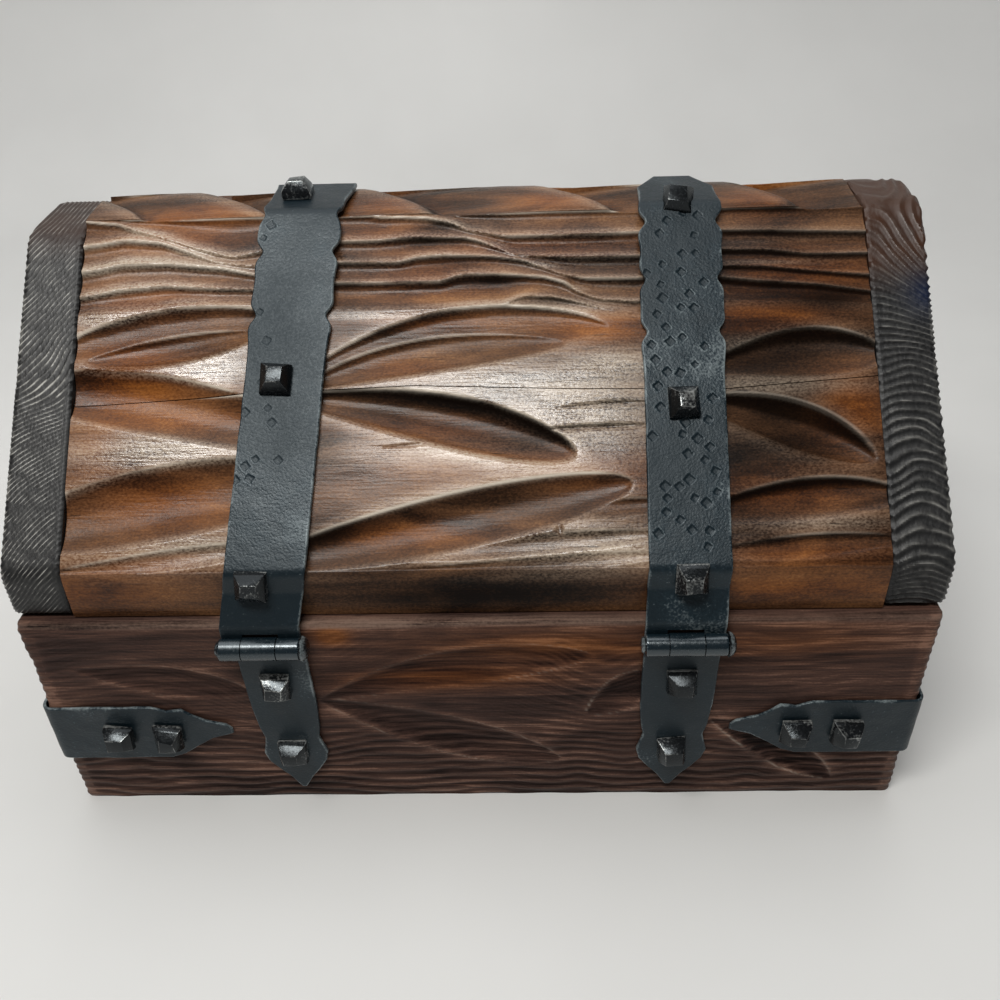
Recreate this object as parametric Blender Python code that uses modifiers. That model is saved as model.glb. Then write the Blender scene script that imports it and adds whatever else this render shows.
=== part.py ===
"""Carved wooden treasure chest: boarded base, hipped lid, iron strap hinges, corner bands and a hasp.

Units are metres. +Z is up, the front of the chest faces -Y and its hinges are on the back, at +Y.
The origin is the centre of the underside. A place on a carved face is given as seen by someone who
looks at that face: r runs to the right and s runs up the face.
"""
import math
from collections import namedtuple

import bmesh
import bpy
from mathutils import Matrix, Vector

# Base box
BASE_WIDTH = 0.295
BASE_DEPTH = 0.210
BASE_HEIGHT = 0.085
BOARD = 0.0195
BOTTOM_THICKNESS = 0.012
RABBET_DEPTH = 0.008
CORNER_ROUND = 0.0026

# Lid
LID_OVERHANG = 0.0012
LID_INSET = 0.0046
UPRIGHT_HEIGHT = 0.0174
SLOPE_ANGLE = math.radians(43.0)
RIDGE_WIDTH = 0.0258
SLOPE_JOINT = 0.058
CAP_THICKNESS = 0.0195
CAP_ROUND = 0.0018
RIGHT_CAP_DROP = 0.0030
ARRIS_WEAR = 0.0006

# Clearances
SEAT_GAP = 0.0003
LID_GAP = 0.0006
LEDGE_CLEARANCE = 0.0005

# Iron
PLATE = 0.0016
STRAP_WIDTH = 0.0254
BARREL_RADIUS = 0.00375
PIN_RADIUS = 0.00185
ROLL_STEPS = 14
ROLL_TURN = 275.0
OUTER_KNUCKLE = 0.0070
BEND_RADIUS = 0.0045
SHARP_ANGLE = math.radians(50.0)

# Hinges: the +X one first, placed by their share of the base's half width
HINGE_SHARES = (0.461, -0.4508)
HINGE_DROP = 0.006
PIN_HEAD_RADIUS = 0.0041
PIN_HEAD_LENGTH = 0.0024
PIN_END_RADIUS = 0.0027
PIN_END_LENGTH = 0.0010
PIN_STEPS = 16

# Strap outlines
WAVE_START = 0.075
WAVE_PITCH = 0.0205
WAVE_DEPTH = 0.0022
WAVE_STEPS = 5
STRAP_END_MARGIN = 0.001
STRAP_FLARE = 0.0025
STRAP_TAPER_LENGTH = 0.0102
STRAP_TAPER = 0.62
BAND_LEAF_CLEARANCE = 0.0043
BAND_HEIGHT_SHARE = 0.428
BASE_LEAF_FOOT = 0.008
CORNER_BEND_STEPS = 4

# Half width of a base leaf by its depth below the hinge axis, both as shares: waist, lobe and tip
BASE_LEAF_PROFILE = (
    (0.0, 0.97), (0.42, 0.95), (0.56, 0.88), (0.63, 0.77), (0.66, 0.88),
    (0.73, 0.96), (0.83, 0.71), (0.93, 0.30), (0.98, 0.17), (1.0, 0.08),
)

# Half width of a corner band by its distance from the corner, both as shares: shoulder and snout
BAND_PROFILE = (
    (0.0, 1.0), (0.60, 1.0), (0.66, 0.86), (0.72, 0.90), (0.78, 0.58), (0.86, 0.36),
    (0.98, 0.30), (1.0, 0.22),
)

# Nails
HEAD_SIZE = 0.0100
HEAD_RIM = 0.0014
HEAD_HEIGHT = 0.0050
HEAD_TOP = 0.0050
SHANK = 0.0026
SHANK_LENGTH = 0.015
RIDGE_SHANK_LENGTH = 0.010
SHANK_TIP = 0.0012

# Middle lines of the lid straps, the +X one first: (s up the slope, x beyond the hinge)
STRAP_CENTRES = (
    ((0.0, -0.0038), (0.089, -0.0100), (0.140, -0.0135)),
    ((0.0, -0.0005), (0.086, -0.0015), (0.140, -0.0025)),
)
BASE_LEAF_LEANS = (-0.0032, 0.0006)

# Nails of the straps, the +X strap first: x beyond the hinge and a height above the base, a place
# up the slope, a place across the ridge, or a depth below the hinge as a share of the leaf
UPRIGHT_NAILS = ((0.0006, 0.0150), (-0.0010, 0.0160))
SLOPE_NAILS = ((-0.0056, 0.0616), (-0.0003, 0.0521))
RIDGE_NAILS = ((-0.0088, 0.0), (-0.0016, 0.0072))
BASE_LEAF_NAILS = (
    ((-0.0018, 0.2550), (-0.0030, 0.7113)),
    ((-0.0003, 0.2550), (0.0007, 0.7113)),
)

# Nails of the corner bands, by their distance from the corner as a share of the reach
BAND_NAILS = (0.373, 0.645)
BAND_END_NAILS = (0.475, 0.778)

# Hasp
HASP_WIDTH = 0.020
HASP_LENGTH = 0.060
HASP_NECK = 0.009
HASP_CLEARANCE = 0.0006
HASP_BARREL_WIDTH = 0.024
HASP_OUTER_KNUCKLE = 0.0065
HASP_SLOT_WIDTH = 0.0064
HASP_SLOT_LENGTH = 0.0225
HASP_SLOT_MARGIN = 0.0075
HASP_SHOULDER = 0.0030
HASP_TIP_CUT = 0.0040
HASP_RAMP_START = 0.0015
HASP_RAMP_END = 0.0065
HASP_BAR_WIDTH = 0.050
HASP_BAR_HEIGHT = 0.017
HASP_BAR_CORNER = 0.0015
HASP_TONGUE_HALF = 0.011
HASP_TONGUE_FLARE = 0.0010
HASP_TONGUE_TIP = 0.0180
HASP_BAR_NAIL_X = 0.0190
HASP_BAR_NAIL_S = 0.0150
HASP_NAIL_CLEARANCE = 0.010
HASP_TONGUE_MARGIN = 0.012
STAPLE_LEG_SPACING = 0.014
STAPLE_REACH = 0.0135
STAPLE_RADIUS = 0.0018
STAPLE_DEPTH = 0.012
STAPLE_BENDS = 8
STAPLE_HOLE_SIDES = 10
STAPLE_PLATE_WIDTH = 0.050
STAPLE_PLATE_HEIGHT = 0.026
STAPLE_PLATE_CLIP = 0.0058
STAPLE_NAIL_X = 0.018

# Carving grid
COLUMN = 0.0072
LOWER_ROWS = 12
UPPER_ROWS = 15
BASE_ROWS = 12
RIDGE_ROWS = 6
BASE_COLUMN = 0.0095
FLUTE_START = 0.0855
FLUTE_PITCH = 0.0078
FLUTE_DEPTH = 0.0014
GOUGE_SKEW = 1.25
GOUGE_FULLNESS = 0.65
EDGE_SHARE = 0.35
LEAST_STEP = 0.0002
CAP_EDGE_ANGLE = math.radians(60.0)

# Worked out from the values above
RIDGE_HALF = RIDGE_WIDTH / 2
LID_HALF_DEPTH = BASE_DEPTH / 2 - LID_INSET
SLOPE_RUN = LID_HALF_DEPTH - RIDGE_HALF
SLOPE_LENGTH = SLOPE_RUN / math.cos(SLOPE_ANGLE)
LID_SEAT = BASE_HEIGHT + LID_GAP
ARRIS_HEIGHT = LID_SEAT + UPRIGHT_HEIGHT
RIDGE_HEIGHT = ARRIS_HEIGHT + SLOPE_RUN * math.tan(SLOPE_ANGLE)
LID_HALF_WIDTH = BASE_WIDTH / 2 + LID_OVERHANG
LID_BOARD_HALF = LID_HALF_WIDTH - CAP_THICKNESS - SEAT_GAP
ROLL_RADIUS = BARREL_RADIUS - PLATE / 2
STRAP_LIFT = SEAT_GAP + PLATE / 2
NAIL_LIFT = SEAT_GAP + PLATE + SEAT_GAP
HINGE_AXIS = Vector((0.0, BASE_DEPTH / 2 + SEAT_GAP + BARREL_RADIUS, BASE_HEIGHT - HINGE_DROP))
HASP_HANG_Y = -(BASE_DEPTH / 2 + SEAT_GAP + PLATE + HASP_CLEARANCE + PLATE / 2)
HASP_AXIS_LIFT = NAIL_LIFT + PLATE / 2 + ROLL_RADIUS
HINGE_X = tuple(share * BASE_WIDTH / 2 for share in HINGE_SHARES)
BASE_LEAF_LENGTH = HINGE_AXIS.z - BASE_LEAF_FOOT
CORNER_BAND_REACH = BASE_WIDTH / 2 - HINGE_X[0] - STRAP_WIDTH / 2 - BAND_LEAF_CLEARANCE
BAND_HEIGHT = BASE_HEIGHT * BAND_HEIGHT_SHARE
STRAP_LAST = SLOPE_LENGTH + RIDGE_WIDTH - STRAP_END_MARGIN
HASP_SLOT_END = HASP_LENGTH - HASP_SLOT_MARGIN
HASP_SLOT_START = HASP_SLOT_END - HASP_SLOT_LENGTH
HASP_TONGUE_NAIL_S = HASP_LENGTH + HASP_NAIL_CLEARANCE
HASP_TONGUE_END_S = HASP_TONGUE_NAIL_S + HASP_TONGUE_MARGIN
STAPLE_DROP = (HASP_SLOT_START + HASP_SLOT_END) / 2

Gouge = namedtuple("Gouge", "r0 s0 r1 s1 half_width depth")

# Long hollows cut up and down the slopes, each from its pointed end to its blunt end
SLOPE_GOUGES = (
    Gouge(-0.047, 0.067, 0.032, 0.083, 0.0060, 0.0020),
    Gouge(-0.047, 0.063, 0.030, 0.072, 0.0085, 0.0032),
    Gouge(-0.056, 0.058, 0.034, 0.039, 0.0100, 0.0038),
    Gouge(-0.060, 0.003, 0.052, 0.030, 0.0110, 0.0034),
    Gouge(-0.126, 0.072, -0.062, 0.086, 0.0060, 0.0020),
    Gouge(-0.126, 0.067, -0.066, 0.077, 0.0075, 0.0030),
    Gouge(-0.062, 0.053, -0.130, 0.062, 0.0075, 0.0028),
    Gouge(-0.060, 0.042, -0.132, 0.051, 0.0080, 0.0028),
    Gouge(-0.132, 0.012, -0.062, 0.031, 0.0105, 0.0034),
    Gouge(0.072, 0.063, 0.130, 0.069, 0.0090, 0.0030),
    Gouge(0.070, 0.053, 0.127, 0.034, 0.0085, 0.0036),
    Gouge(0.068, 0.017, 0.132, 0.026, 0.0080, 0.0028),
    Gouge(0.076, 0.003, 0.130, 0.008, 0.0045, 0.0016),
)

# Scoops cut slantwise over the ridge, as seen from the back; s runs over it from its back edge
RIDGE_GOUGES = (
    Gouge(-0.139, 0.034, -0.112, -0.010, 0.0110, 0.0024),
    Gouge(-0.090, 0.034, -0.060, -0.010, 0.0120, 0.0020),
    Gouge(-0.030, 0.034, -0.002, -0.010, 0.0120, 0.0015),
    Gouge(0.030, 0.034, 0.058, -0.010, 0.0120, 0.0022),
    Gouge(0.096, 0.034, 0.120, -0.010, 0.0100, 0.0032),
)

# Shallow leaf-shaped hollows on the long faces of the base
BASE_GOUGES = (
    Gouge(-0.052, 0.051, 0.036, 0.069, 0.0085, 0.0022),
    Gouge(-0.052, 0.051, 0.026, 0.019, 0.0095, 0.0024),
    Gouge(0.034, 0.044, 0.058, 0.060, 0.0080, 0.0016),
    Gouge(0.080, 0.038, 0.122, 0.008, 0.0070, 0.0016),
    Gouge(-0.132, 0.064, -0.078, 0.055, 0.0070, 0.0014),
)

PARTS_NAME = "treasure_chest"
CUTTERS_NAME = "cutters"


def clear_scene():
    """Remove every object and make the two collections."""
    for item in list(bpy.data.objects):
        bpy.data.objects.remove(item, do_unlink=True)
    for name in (PARTS_NAME, CUTTERS_NAME):
        collection = bpy.data.collections.new(name)
        bpy.context.scene.collection.children.link(collection)


def make_material(name, colour, roughness, metallic=0.0):
    """A Principled BSDF material."""
    material = bpy.data.materials.new(name)
    material.use_nodes = True
    shader = material.node_tree.nodes["Principled BSDF"]
    shader.inputs["Base Color"].default_value = (*colour, 1.0)
    shader.inputs["Roughness"].default_value = roughness
    shader.inputs["Metallic"].default_value = metallic
    return material


def carved_wood():
    return make_material("carved_wood", (0.26, 0.105, 0.038), 0.36)


def base_wood():
    return make_material("base_wood", (0.15, 0.058, 0.026), 0.42)


def charred_wood():
    return make_material("charred_wood", (0.045, 0.040, 0.038), 0.60)


def black_iron():
    return make_material("black_iron", (0.040, 0.047, 0.052), 0.48, 0.55)


def add_object(name, bm, material, collection=PARTS_NAME):
    """Turn a bmesh into an object in a collection."""
    bmesh.ops.recalc_face_normals(bm, faces=bm.faces[:])
    mesh = bpy.data.meshes.new(name)
    bm.to_mesh(mesh)
    bm.free()
    item = bpy.data.objects.new(name, mesh)
    if material:
        mesh.materials.append(material)
    bpy.data.collections[collection].objects.link(item)
    return item


def add_cutter(name, bm):
    item = add_object(name, bm, None, CUTTERS_NAME)
    item.hide_render = True
    item.display_type = "WIRE"
    return item


class Cuts:
    """The holes of every piece, gathered first so that each piece takes a single Boolean."""

    def __init__(self):
        self.shapes = {}

    def add(self, items, shape):
        """Note a hole in some pieces; shape adds the hole's solid to a bmesh."""
        for item in items:
            self.shapes.setdefault(item, []).append(shape)

    def make(self):
        for item, shapes in self.shapes.items():
            bm = bmesh.new()
            for shape in shapes:
                shape(bm)
            boolean = item.modifiers.new("holes", "BOOLEAN")
            boolean.operation = "DIFFERENCE"
            boolean.object = add_cutter(item.name + "_holes", bm)


def smooth(item):
    """Shade an object smooth except at its sharp edges."""
    item.data.shade_smooth()
    item.data.set_sharp_from_angle(angle=SHARP_ANGLE)
    return item


def add_box(bm, low, high):
    """Add a box between two corners to a bmesh."""
    low, high = Vector(low), Vector(high)
    size = Matrix.Diagonal((*(high - low), 1.0))
    bmesh.ops.create_cube(bm, size=1.0, matrix=Matrix.Translation((low + high) / 2) @ size)


def box_bmesh(low, high):
    bm = bmesh.new()
    add_box(bm, low, high)
    return bm


def add_cylinder(bm, radius, start, end, sides):
    """Add a capped cylinder between two points to a bmesh."""
    start, end = Vector(start), Vector(end)
    turn = (end - start).to_track_quat("Z", "Y").to_matrix().to_4x4()
    place = Matrix.Translation((start + end) / 2) @ turn
    bmesh.ops.create_cone(
        bm, cap_ends=True, segments=sides, radius1=radius, radius2=radius,
        depth=(end - start).length, matrix=place)


def stations(low, high, step, edge=0.0):
    """Evenly spaced values from low to high, with a finer pair at each end where edge is given."""
    inner_low, inner_high = low + edge, high - edge
    count = max(2, round((inner_high - inner_low) / step))
    values = [inner_low + (inner_high - inner_low) * i / count for i in range(count + 1)]
    if edge:
        values = [low, low + edge * EDGE_SHARE] + values + [high - edge * EDGE_SHARE, high]
    return values


def gouge_depth(gouges, r, s):
    """Depth of the deepest gouge at a place: hollow across, pointed at its start, blunt at its end."""
    deepest = 0.0
    for gouge in gouges:
        run = Vector((gouge.r1 - gouge.r0, gouge.s1 - gouge.s0))
        length = run.length
        run.normalize()
        away = Vector((r - gouge.r0, s - gouge.s0))
        along = away.dot(run) / length
        if not 0.0 < along < 1.0:
            continue
        fullness = math.sin(math.pi * along ** GOUGE_SKEW) ** GOUGE_FULLNESS
        across = abs(away.x * run.y - away.y * run.x) / (gouge.half_width * fullness)
        if across < 1.0:
            deepest = max(deepest, gouge.depth * fullness * (1.0 - across * across))
    return deepest


def ridge_depth(x, s):
    """Depth of the carving on the ridge board at s beyond its back edge."""
    return ARRIS_WEAR / 2 + gouge_depth(RIDGE_GOUGES, -x, s)


def slope_depth(side, x, s):
    """Depth of the carving on a slope at s above the lower arris; the ridge's scoops run on over it."""
    depth = gouge_depth(SLOPE_GOUGES, -side * x, s)
    if s > FLUTE_START:
        depth = max(depth, FLUTE_DEPTH * abs(math.sin(math.pi * (s - FLUTE_START) / FLUTE_PITCH)))
    fade = max(0.0, 1.0 - (SLOPE_LENGTH - s) / FLUTE_PITCH)
    ridge_edge = 0.0 if side > 0 else RIDGE_WIDTH
    return max(depth * (1.0 - fade), ridge_depth(x, ridge_edge) * fade)


def base_depth(r, s):
    """Depth of the carving on a long face of the base, with its worn upright corners."""
    edge = BASE_WIDTH / 2 - abs(r)
    depth = gouge_depth(BASE_GOUGES, r, s)
    if edge < CORNER_ROUND:
        reach = CORNER_ROUND - max(edge, 0.0)
        depth = CORNER_ROUND - math.sqrt(CORNER_ROUND ** 2 - reach ** 2)
    return depth


Row = namedtuple("Row", "outer inward back depth")


def carved_board(name, columns, rows, material):
    """A board whose outer face is a grid pressed inward by its carving.

    columns are stations along X. Each row holds a point (y, z) on the uncarved outer face, the way
    inward, the matching point on the flat back, and the carving's depth as a function of x.
    """
    bm = bmesh.new()
    last_column = len(columns) - 1
    last_row = len(rows) - 1
    bmesh.ops.create_grid(bm, x_segments=last_column, y_segments=last_row, size=0.5)
    fronts = set(bm.verts)
    bmesh.ops.extrude_face_region(bm, geom=bm.faces[:])
    places = {}
    for vert in bm.verts:
        i = round((vert.co.x + 0.5) * last_column)
        j = round((vert.co.y + 0.5) * last_row)
        places[vert] = (i, j)
        vert.co = (columns[i], *rows[j].back)
        if vert in fronts:
            row = rows[j]
            depth = row.depth(columns[i])
            vert.co.y = row.outer[0] + row.inward[0] * depth
            vert.co.z = row.outer[1] + row.inward[1] * depth
    flat_sides = (
        lambda vert: vert not in fronts,
        lambda vert: places[vert][0] == 0,
        lambda vert: places[vert][0] == last_column,
        lambda vert: places[vert][1] == 0,
        lambda vert: places[vert][1] == last_row,
    )
    carved_faces = [face for face in bm.faces if all(vert in fronts for vert in face.verts)]
    plain_faces = set(bm.faces) - set(carved_faces)
    for on_side in flat_sides:
        faces = [face for face in plain_faces if all(on_side(vert) for vert in face.verts)]
        plain_faces.difference_update(faces)
        bmesh.ops.dissolve_faces(bm, faces=faces)
    spare = [vert for vert in bm.verts if vert not in fronts and len(vert.link_edges) == 2]
    bmesh.ops.dissolve_verts(bm, verts=spare)
    bmesh.ops.triangulate(bm, faces=carved_faces)
    return add_object(name, bm, material)


def slope_point(side, s, lift):
    """Point (y, z) at s up a slope, lifted off its surface; side is +1 at the back, -1 in front."""
    y = LID_HALF_DEPTH - s * math.cos(SLOPE_ANGLE) + lift * math.sin(SLOPE_ANGLE)
    z = ARRIS_HEIGHT + s * math.sin(SLOPE_ANGLE) + lift * math.cos(SLOPE_ANGLE)
    return side * y, z


def slope_inward(side):
    return -side * math.sin(SLOPE_ANGLE), -math.cos(SLOPE_ANGLE)


def ridge_inward(side):
    """Way inward along the mitre between a slope and the ridge board, per unit of depth."""
    half = SLOPE_ANGLE / 2
    return -side * math.tan(half), -1.0


def blend_rows(start, end, share):
    return tuple(a + (b - a) * share for a, b in zip(start, end))


def build_lower_board(side, name, material):
    """Lower lid board: its foot is cut upright outside and level where it sits on the base."""
    columns = stations(-LID_BOARD_HALF, LID_BOARD_HALF, COLUMN)
    top_s = SLOPE_JOINT - SEAT_GAP / 2
    seat_run = (BOARD / math.cos(SLOPE_ANGLE) - UPRIGHT_HEIGHT) / math.tan(SLOPE_ANGLE)
    seat_back = (side * (LID_HALF_DEPTH - seat_run), LID_SEAT)
    top_back = slope_point(side, top_s, -BOARD)
    face_y = side * LID_HALF_DEPTH
    half_turn = (math.pi / 2 - SLOPE_ANGLE) / 2
    bisector = (-side * math.cos(half_turn), -math.sin(half_turn))

    def at(s):
        return lambda x: slope_depth(side, x, s)

    rows = [
        Row((face_y, LID_SEAT), (-side, 0.0), seat_back, lambda x: 0.0),
        Row((face_y, ARRIS_HEIGHT - BEND_RADIUS / 2), (-side, 0.0),
            blend_rows(seat_back, top_back, 0.2), lambda x: ARRIS_WEAR / 4),
        Row((face_y, ARRIS_HEIGHT), bisector,
            blend_rows(seat_back, top_back, 0.3), lambda x: ARRIS_WEAR * 2),
    ]
    first_s = BEND_RADIUS / 2
    for j in range(LOWER_ROWS + 1):
        s = first_s + (top_s - first_s) * j / LOWER_ROWS
        share = 0.4 + 0.6 * j / LOWER_ROWS
        rows.append(Row(slope_point(side, s, 0.0), slope_inward(side),
                        blend_rows(seat_back, top_back, share), at(s)))
    return carved_board(name, columns, rows, material)


def build_upper_board(side, name, material):
    """Upper lid board, square at its lower edge and mitred against the ridge board."""
    columns = stations(-LID_BOARD_HALF, LID_BOARD_HALF, COLUMN)
    low_s = SLOPE_JOINT + SEAT_GAP / 2
    high_s = SLOPE_LENGTH - SEAT_GAP / 2
    low_back = slope_point(side, low_s, -BOARD)
    high_back = slope_point(side, high_s - BOARD * math.tan(SLOPE_ANGLE / 2), -BOARD)

    def at(s):
        return lambda x: slope_depth(side, x, s)

    rows = []
    for j in range(UPPER_ROWS + 1):
        share = j / UPPER_ROWS
        s = low_s + (high_s - low_s) * share
        inward = slope_inward(side) if j < UPPER_ROWS else ridge_inward(side)
        rows.append(Row(slope_point(side, s, 0.0), inward, blend_rows(low_back, high_back, share), at(s)))
    return carved_board(name, columns, rows, material)


def build_ridge_board(name, material):
    """Flat-topped board along the ridge, mitred to both upper boards."""
    columns = stations(-LID_BOARD_HALF, LID_BOARD_HALF, COLUMN)
    half_out = RIDGE_HALF - SEAT_GAP / 2
    half_in = half_out - BOARD * math.tan(SLOPE_ANGLE / 2)
    rows = []
    for j in range(RIDGE_ROWS + 1):
        share = j / RIDGE_ROWS
        y = half_out * (1.0 - 2.0 * share)
        inward = (0.0, -1.0)
        if j == 0:
            inward = ridge_inward(1)
        if j == RIDGE_ROWS:
            inward = ridge_inward(-1)
        back = (half_in * (1.0 - 2.0 * share), RIDGE_HEIGHT - BOARD)
        rows.append(Row((y, RIDGE_HEIGHT), inward, back,
                        lambda x, beyond=RIDGE_WIDTH * share: ridge_depth(x, beyond)))
    return carved_board(name, columns, rows, material)


def build_base_long_board(side, name, material):
    """Front or back board of the base, carved outside, with worn upright corners."""
    half = BASE_WIDTH / 2
    columns = stations(-half, half, BASE_COLUMN, CORNER_ROUND)
    outer_y = side * BASE_DEPTH / 2
    inner_y = side * (BASE_DEPTH / 2 - BOARD)

    def at(z):
        return lambda x: base_depth(-side * x, z)

    rows = []
    for j in range(BASE_ROWS + 1):
        z = BASE_HEIGHT * j / BASE_ROWS
        rows.append(Row((outer_y, z), (-side, 0.0), (inner_y, z), at(z)))
    return carved_board(name, columns, rows, material)


def build_end_board(side, name, material):
    """End board of the base, held between the two long boards."""
    outer = side * BASE_WIDTH / 2
    inner = side * (BASE_WIDTH / 2 - BOARD)
    reach = BASE_DEPTH / 2 - BOARD - SEAT_GAP
    bm = box_bmesh((min(outer, inner), -reach, 0.0), (max(outer, inner), reach, BASE_HEIGHT))
    return add_object(name, bm, material)


def build_bottom_board(name, material):
    """Bottom board, let into a rabbet round the inside of the base, flush with the underside."""
    half_x = BASE_WIDTH / 2 - BOARD + RABBET_DEPTH - SEAT_GAP
    half_y = BASE_DEPTH / 2 - BOARD + RABBET_DEPTH - SEAT_GAP
    bm = box_bmesh((-half_x, -half_y, 0.0), (half_x, half_y, BOTTOM_THICKNESS))
    return add_object(name, bm, material)


def add_rabbet(bm):
    """Add the space of the rabbet that takes the bottom board."""
    half_x = BASE_WIDTH / 2 - BOARD + RABBET_DEPTH
    half_y = BASE_DEPTH / 2 - BOARD + RABBET_DEPTH
    add_box(bm, (-half_x, -half_y, -BOARD), (half_x, half_y, BOTTOM_THICKNESS + SEAT_GAP))


def mesh_from_curve(curve_item, name):
    """Replace a curve object by a mesh object with welded caps."""
    depsgraph = bpy.context.evaluated_depsgraph_get()
    mesh = bpy.data.meshes.new_from_object(curve_item.evaluated_get(depsgraph))
    bm = bmesh.new()
    bm.from_mesh(mesh)
    bmesh.ops.remove_doubles(bm, verts=bm.verts[:], dist=0.00001)
    bm.to_mesh(mesh)
    bm.free()
    mesh.name = name
    item = bpy.data.objects.new(name, mesh)
    item.matrix_world = curve_item.matrix_world.copy()
    for collection in curve_item.users_collection:
        collection.objects.link(item)
    bpy.data.objects.remove(curve_item, do_unlink=True)
    return item


def outline_plate(name, outline, thickness, place, material):
    """A flat plate from an outline, as a filled 2D curve with thickness, set by a matrix."""
    curve = bpy.data.curves.new(name + "_outline", "CURVE")
    curve.dimensions = "2D"
    curve.fill_mode = "BOTH"
    curve.extrude = thickness / 2
    spline = curve.splines.new("POLY")
    spline.points.add(len(outline) - 1)
    for point, (u, v) in zip(spline.points, outline):
        point.co = (u, v, 0.0, 1.0)
    spline.use_cyclic_u = True
    curve.materials.append(material)
    curve_item = bpy.data.objects.new(name + "_outline", curve)
    curve_item.matrix_world = place
    bpy.data.collections[PARTS_NAME].objects.link(curve_item)
    bpy.context.view_layer.update()
    return mesh_from_curve(curve_item, name)


def build_cap(side, drop, name, material):
    """End cap of the lid: a board in the lid's own outline, its top dropped a little, with worn edges."""
    top = RIDGE_HEIGHT - drop
    top_half = RIDGE_HALF + drop / math.tan(SLOPE_ANGLE)
    outline = [
        (-LID_HALF_DEPTH, LID_SEAT), (LID_HALF_DEPTH, LID_SEAT), (LID_HALF_DEPTH, ARRIS_HEIGHT),
        (top_half, top), (-top_half, top), (-LID_HALF_DEPTH, ARRIS_HEIGHT),
    ]
    x = side * (LID_HALF_WIDTH - CAP_THICKNESS / 2)
    turn = Matrix(((0, 0, 1, x), (1, 0, 0, 0), (0, 1, 0, 0), (0, 0, 0, 1)))
    item = outline_plate(name, outline, CAP_THICKNESS, turn, material)
    bevel = item.modifiers.new("worn_edges", "BEVEL")
    bevel.width = CAP_ROUND
    bevel.segments = 2
    bevel.limit_method = "ANGLE"
    bevel.angle_limit = CAP_EDGE_ANGLE
    return item


class Path:
    """A bent line in the YZ plane that a strap follows, measured along its length."""

    def __init__(self, points):
        self.points = [Vector(point) for point in points]
        self.marks = [0.0]
        for a, b in zip(self.points, self.points[1:]):
            self.marks.append(self.marks[-1] + (b - a).length)

    def at(self, distance):
        for k in range(len(self.marks) - 1):
            if distance <= self.marks[k + 1] or k == len(self.marks) - 2:
                share = (distance - self.marks[k]) / (self.marks[k + 1] - self.marks[k])
                return self.points[k].lerp(self.points[k + 1], share)

    @property
    def length(self):
        return self.marks[-1]


def arc(centre, radius, start, end, steps):
    """Points on an arc, its angles in degrees from +Y towards +Z."""
    points = []
    for k in range(steps + 1):
        angle = math.radians(start + (end - start) * k / steps)
        points.append((centre[0] + radius * math.cos(angle), centre[1] + radius * math.sin(angle)))
    return points


def rounded_corners(corners, radius, steps=3):
    """A line through the corners, each inner corner replaced by an arc's chords."""
    points = [Vector(corners[0])]
    for before, corner, after in zip(corners, corners[1:], corners[2:]):
        before, corner, after = Vector(before), Vector(corner), Vector(after)
        way_in = (corner - before).normalized()
        way_out = (after - corner).normalized()
        turn = way_in.angle(way_out)
        reach = min(radius * math.tan(turn / 2), (corner - before).length * 0.45,
                    (after - corner).length * 0.45)
        start = corner - way_in * reach
        end = corner + way_out * reach
        for k in range(steps + 1):
            share = k / steps
            points.append(start.lerp(corner, share).lerp(corner.lerp(end, share), share))
    points.append(Vector(corners[-1]))
    return points


def ribbon(name, path, rows, material, thickness=PLATE):
    """A strap: rows give the distance along the path, the four edges across, and which of its
    three strips go on from there."""
    bm = bmesh.new()
    last = len(rows) - 1
    bmesh.ops.create_grid(bm, x_segments=3, y_segments=last, size=0.5)
    doomed = []
    for face in bm.faces:
        centre = face.calc_center_median()
        strip = int((centre.x + 0.5) * 3)
        row = rows[int((centre.y + 0.5) * last)]
        if not row[2][strip]:
            doomed.append(face)
    for vert in bm.verts:
        column = round((vert.co.x + 0.5) * 3)
        distance, edges, _ = rows[round((vert.co.y + 0.5) * last)]
        point = path.at(distance)
        vert.co = (edges[column], point.x, point.y)
    bmesh.ops.delete(bm, geom=doomed, context="FACES")
    item = add_object(name, bm, material)
    solidify = item.modifiers.new("thickness", "SOLIDIFY")
    solidify.thickness = thickness
    solidify.offset = 0.0
    solidify.use_even_offset = True
    return item


ALL_STRIPS = (True, True, True)
OUTER_STRIPS = (True, False, True)
MIDDLE_STRIP = (False, True, False)


def sheet_rows(path, start, end, outline, centre, knuckle_edges, strips=ALL_STRIPS, extra=()):
    """Rows along a stretch of a strap at each bend of its path and each station of its outline.

    outline(distance) gives the strap's left and right half widths, centre(distance) its middle.
    """
    marks = {start, end}
    marks.update(mark for mark in path.marks if start < mark < end)
    marks.update(mark for mark in extra if start < mark < end)
    rows = []
    for mark in sorted(marks):
        if rows and mark - rows[-1][0] < LEAST_STEP and mark != end:
            continue
        left, right = outline(mark)
        middle = centre(mark)
        low, high = middle - left, middle + right
        share = (knuckle_edges[1] - knuckle_edges[0]) / (knuckle_edges[3] - knuckle_edges[0])
        width = high - low
        rows.append((mark, (low, low + width * share, high - width * share, high), strips))
    return rows


def knuckle_edges_at(x, width, outer_knuckle):
    """The four edges across a barrel: two outer knuckles and the space between them."""
    return (x - width / 2, x - width / 2 + outer_knuckle, x + width / 2 - outer_knuckle, x + width / 2)


def middle_knuckle_edges(edges):
    """The middle knuckle, clear of the outer ones, with the same outer edges."""
    return edges[0], edges[1] + SEAT_GAP, edges[2] - SEAT_GAP, edges[3]


def nail_frame(origin, normal, up):
    """A frame at a place on a face: its z axis points out of the face and its y axis up it."""
    normal, up = Vector(normal).normalized(), Vector(up).normalized()
    right = up.cross(normal)
    return Matrix((
        (right.x, up.x, normal.x, origin[0]), (right.y, up.y, normal.y, origin[1]),
        (right.z, up.z, normal.z, origin[2]), (0.0, 0.0, 0.0, 1.0)))


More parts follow.
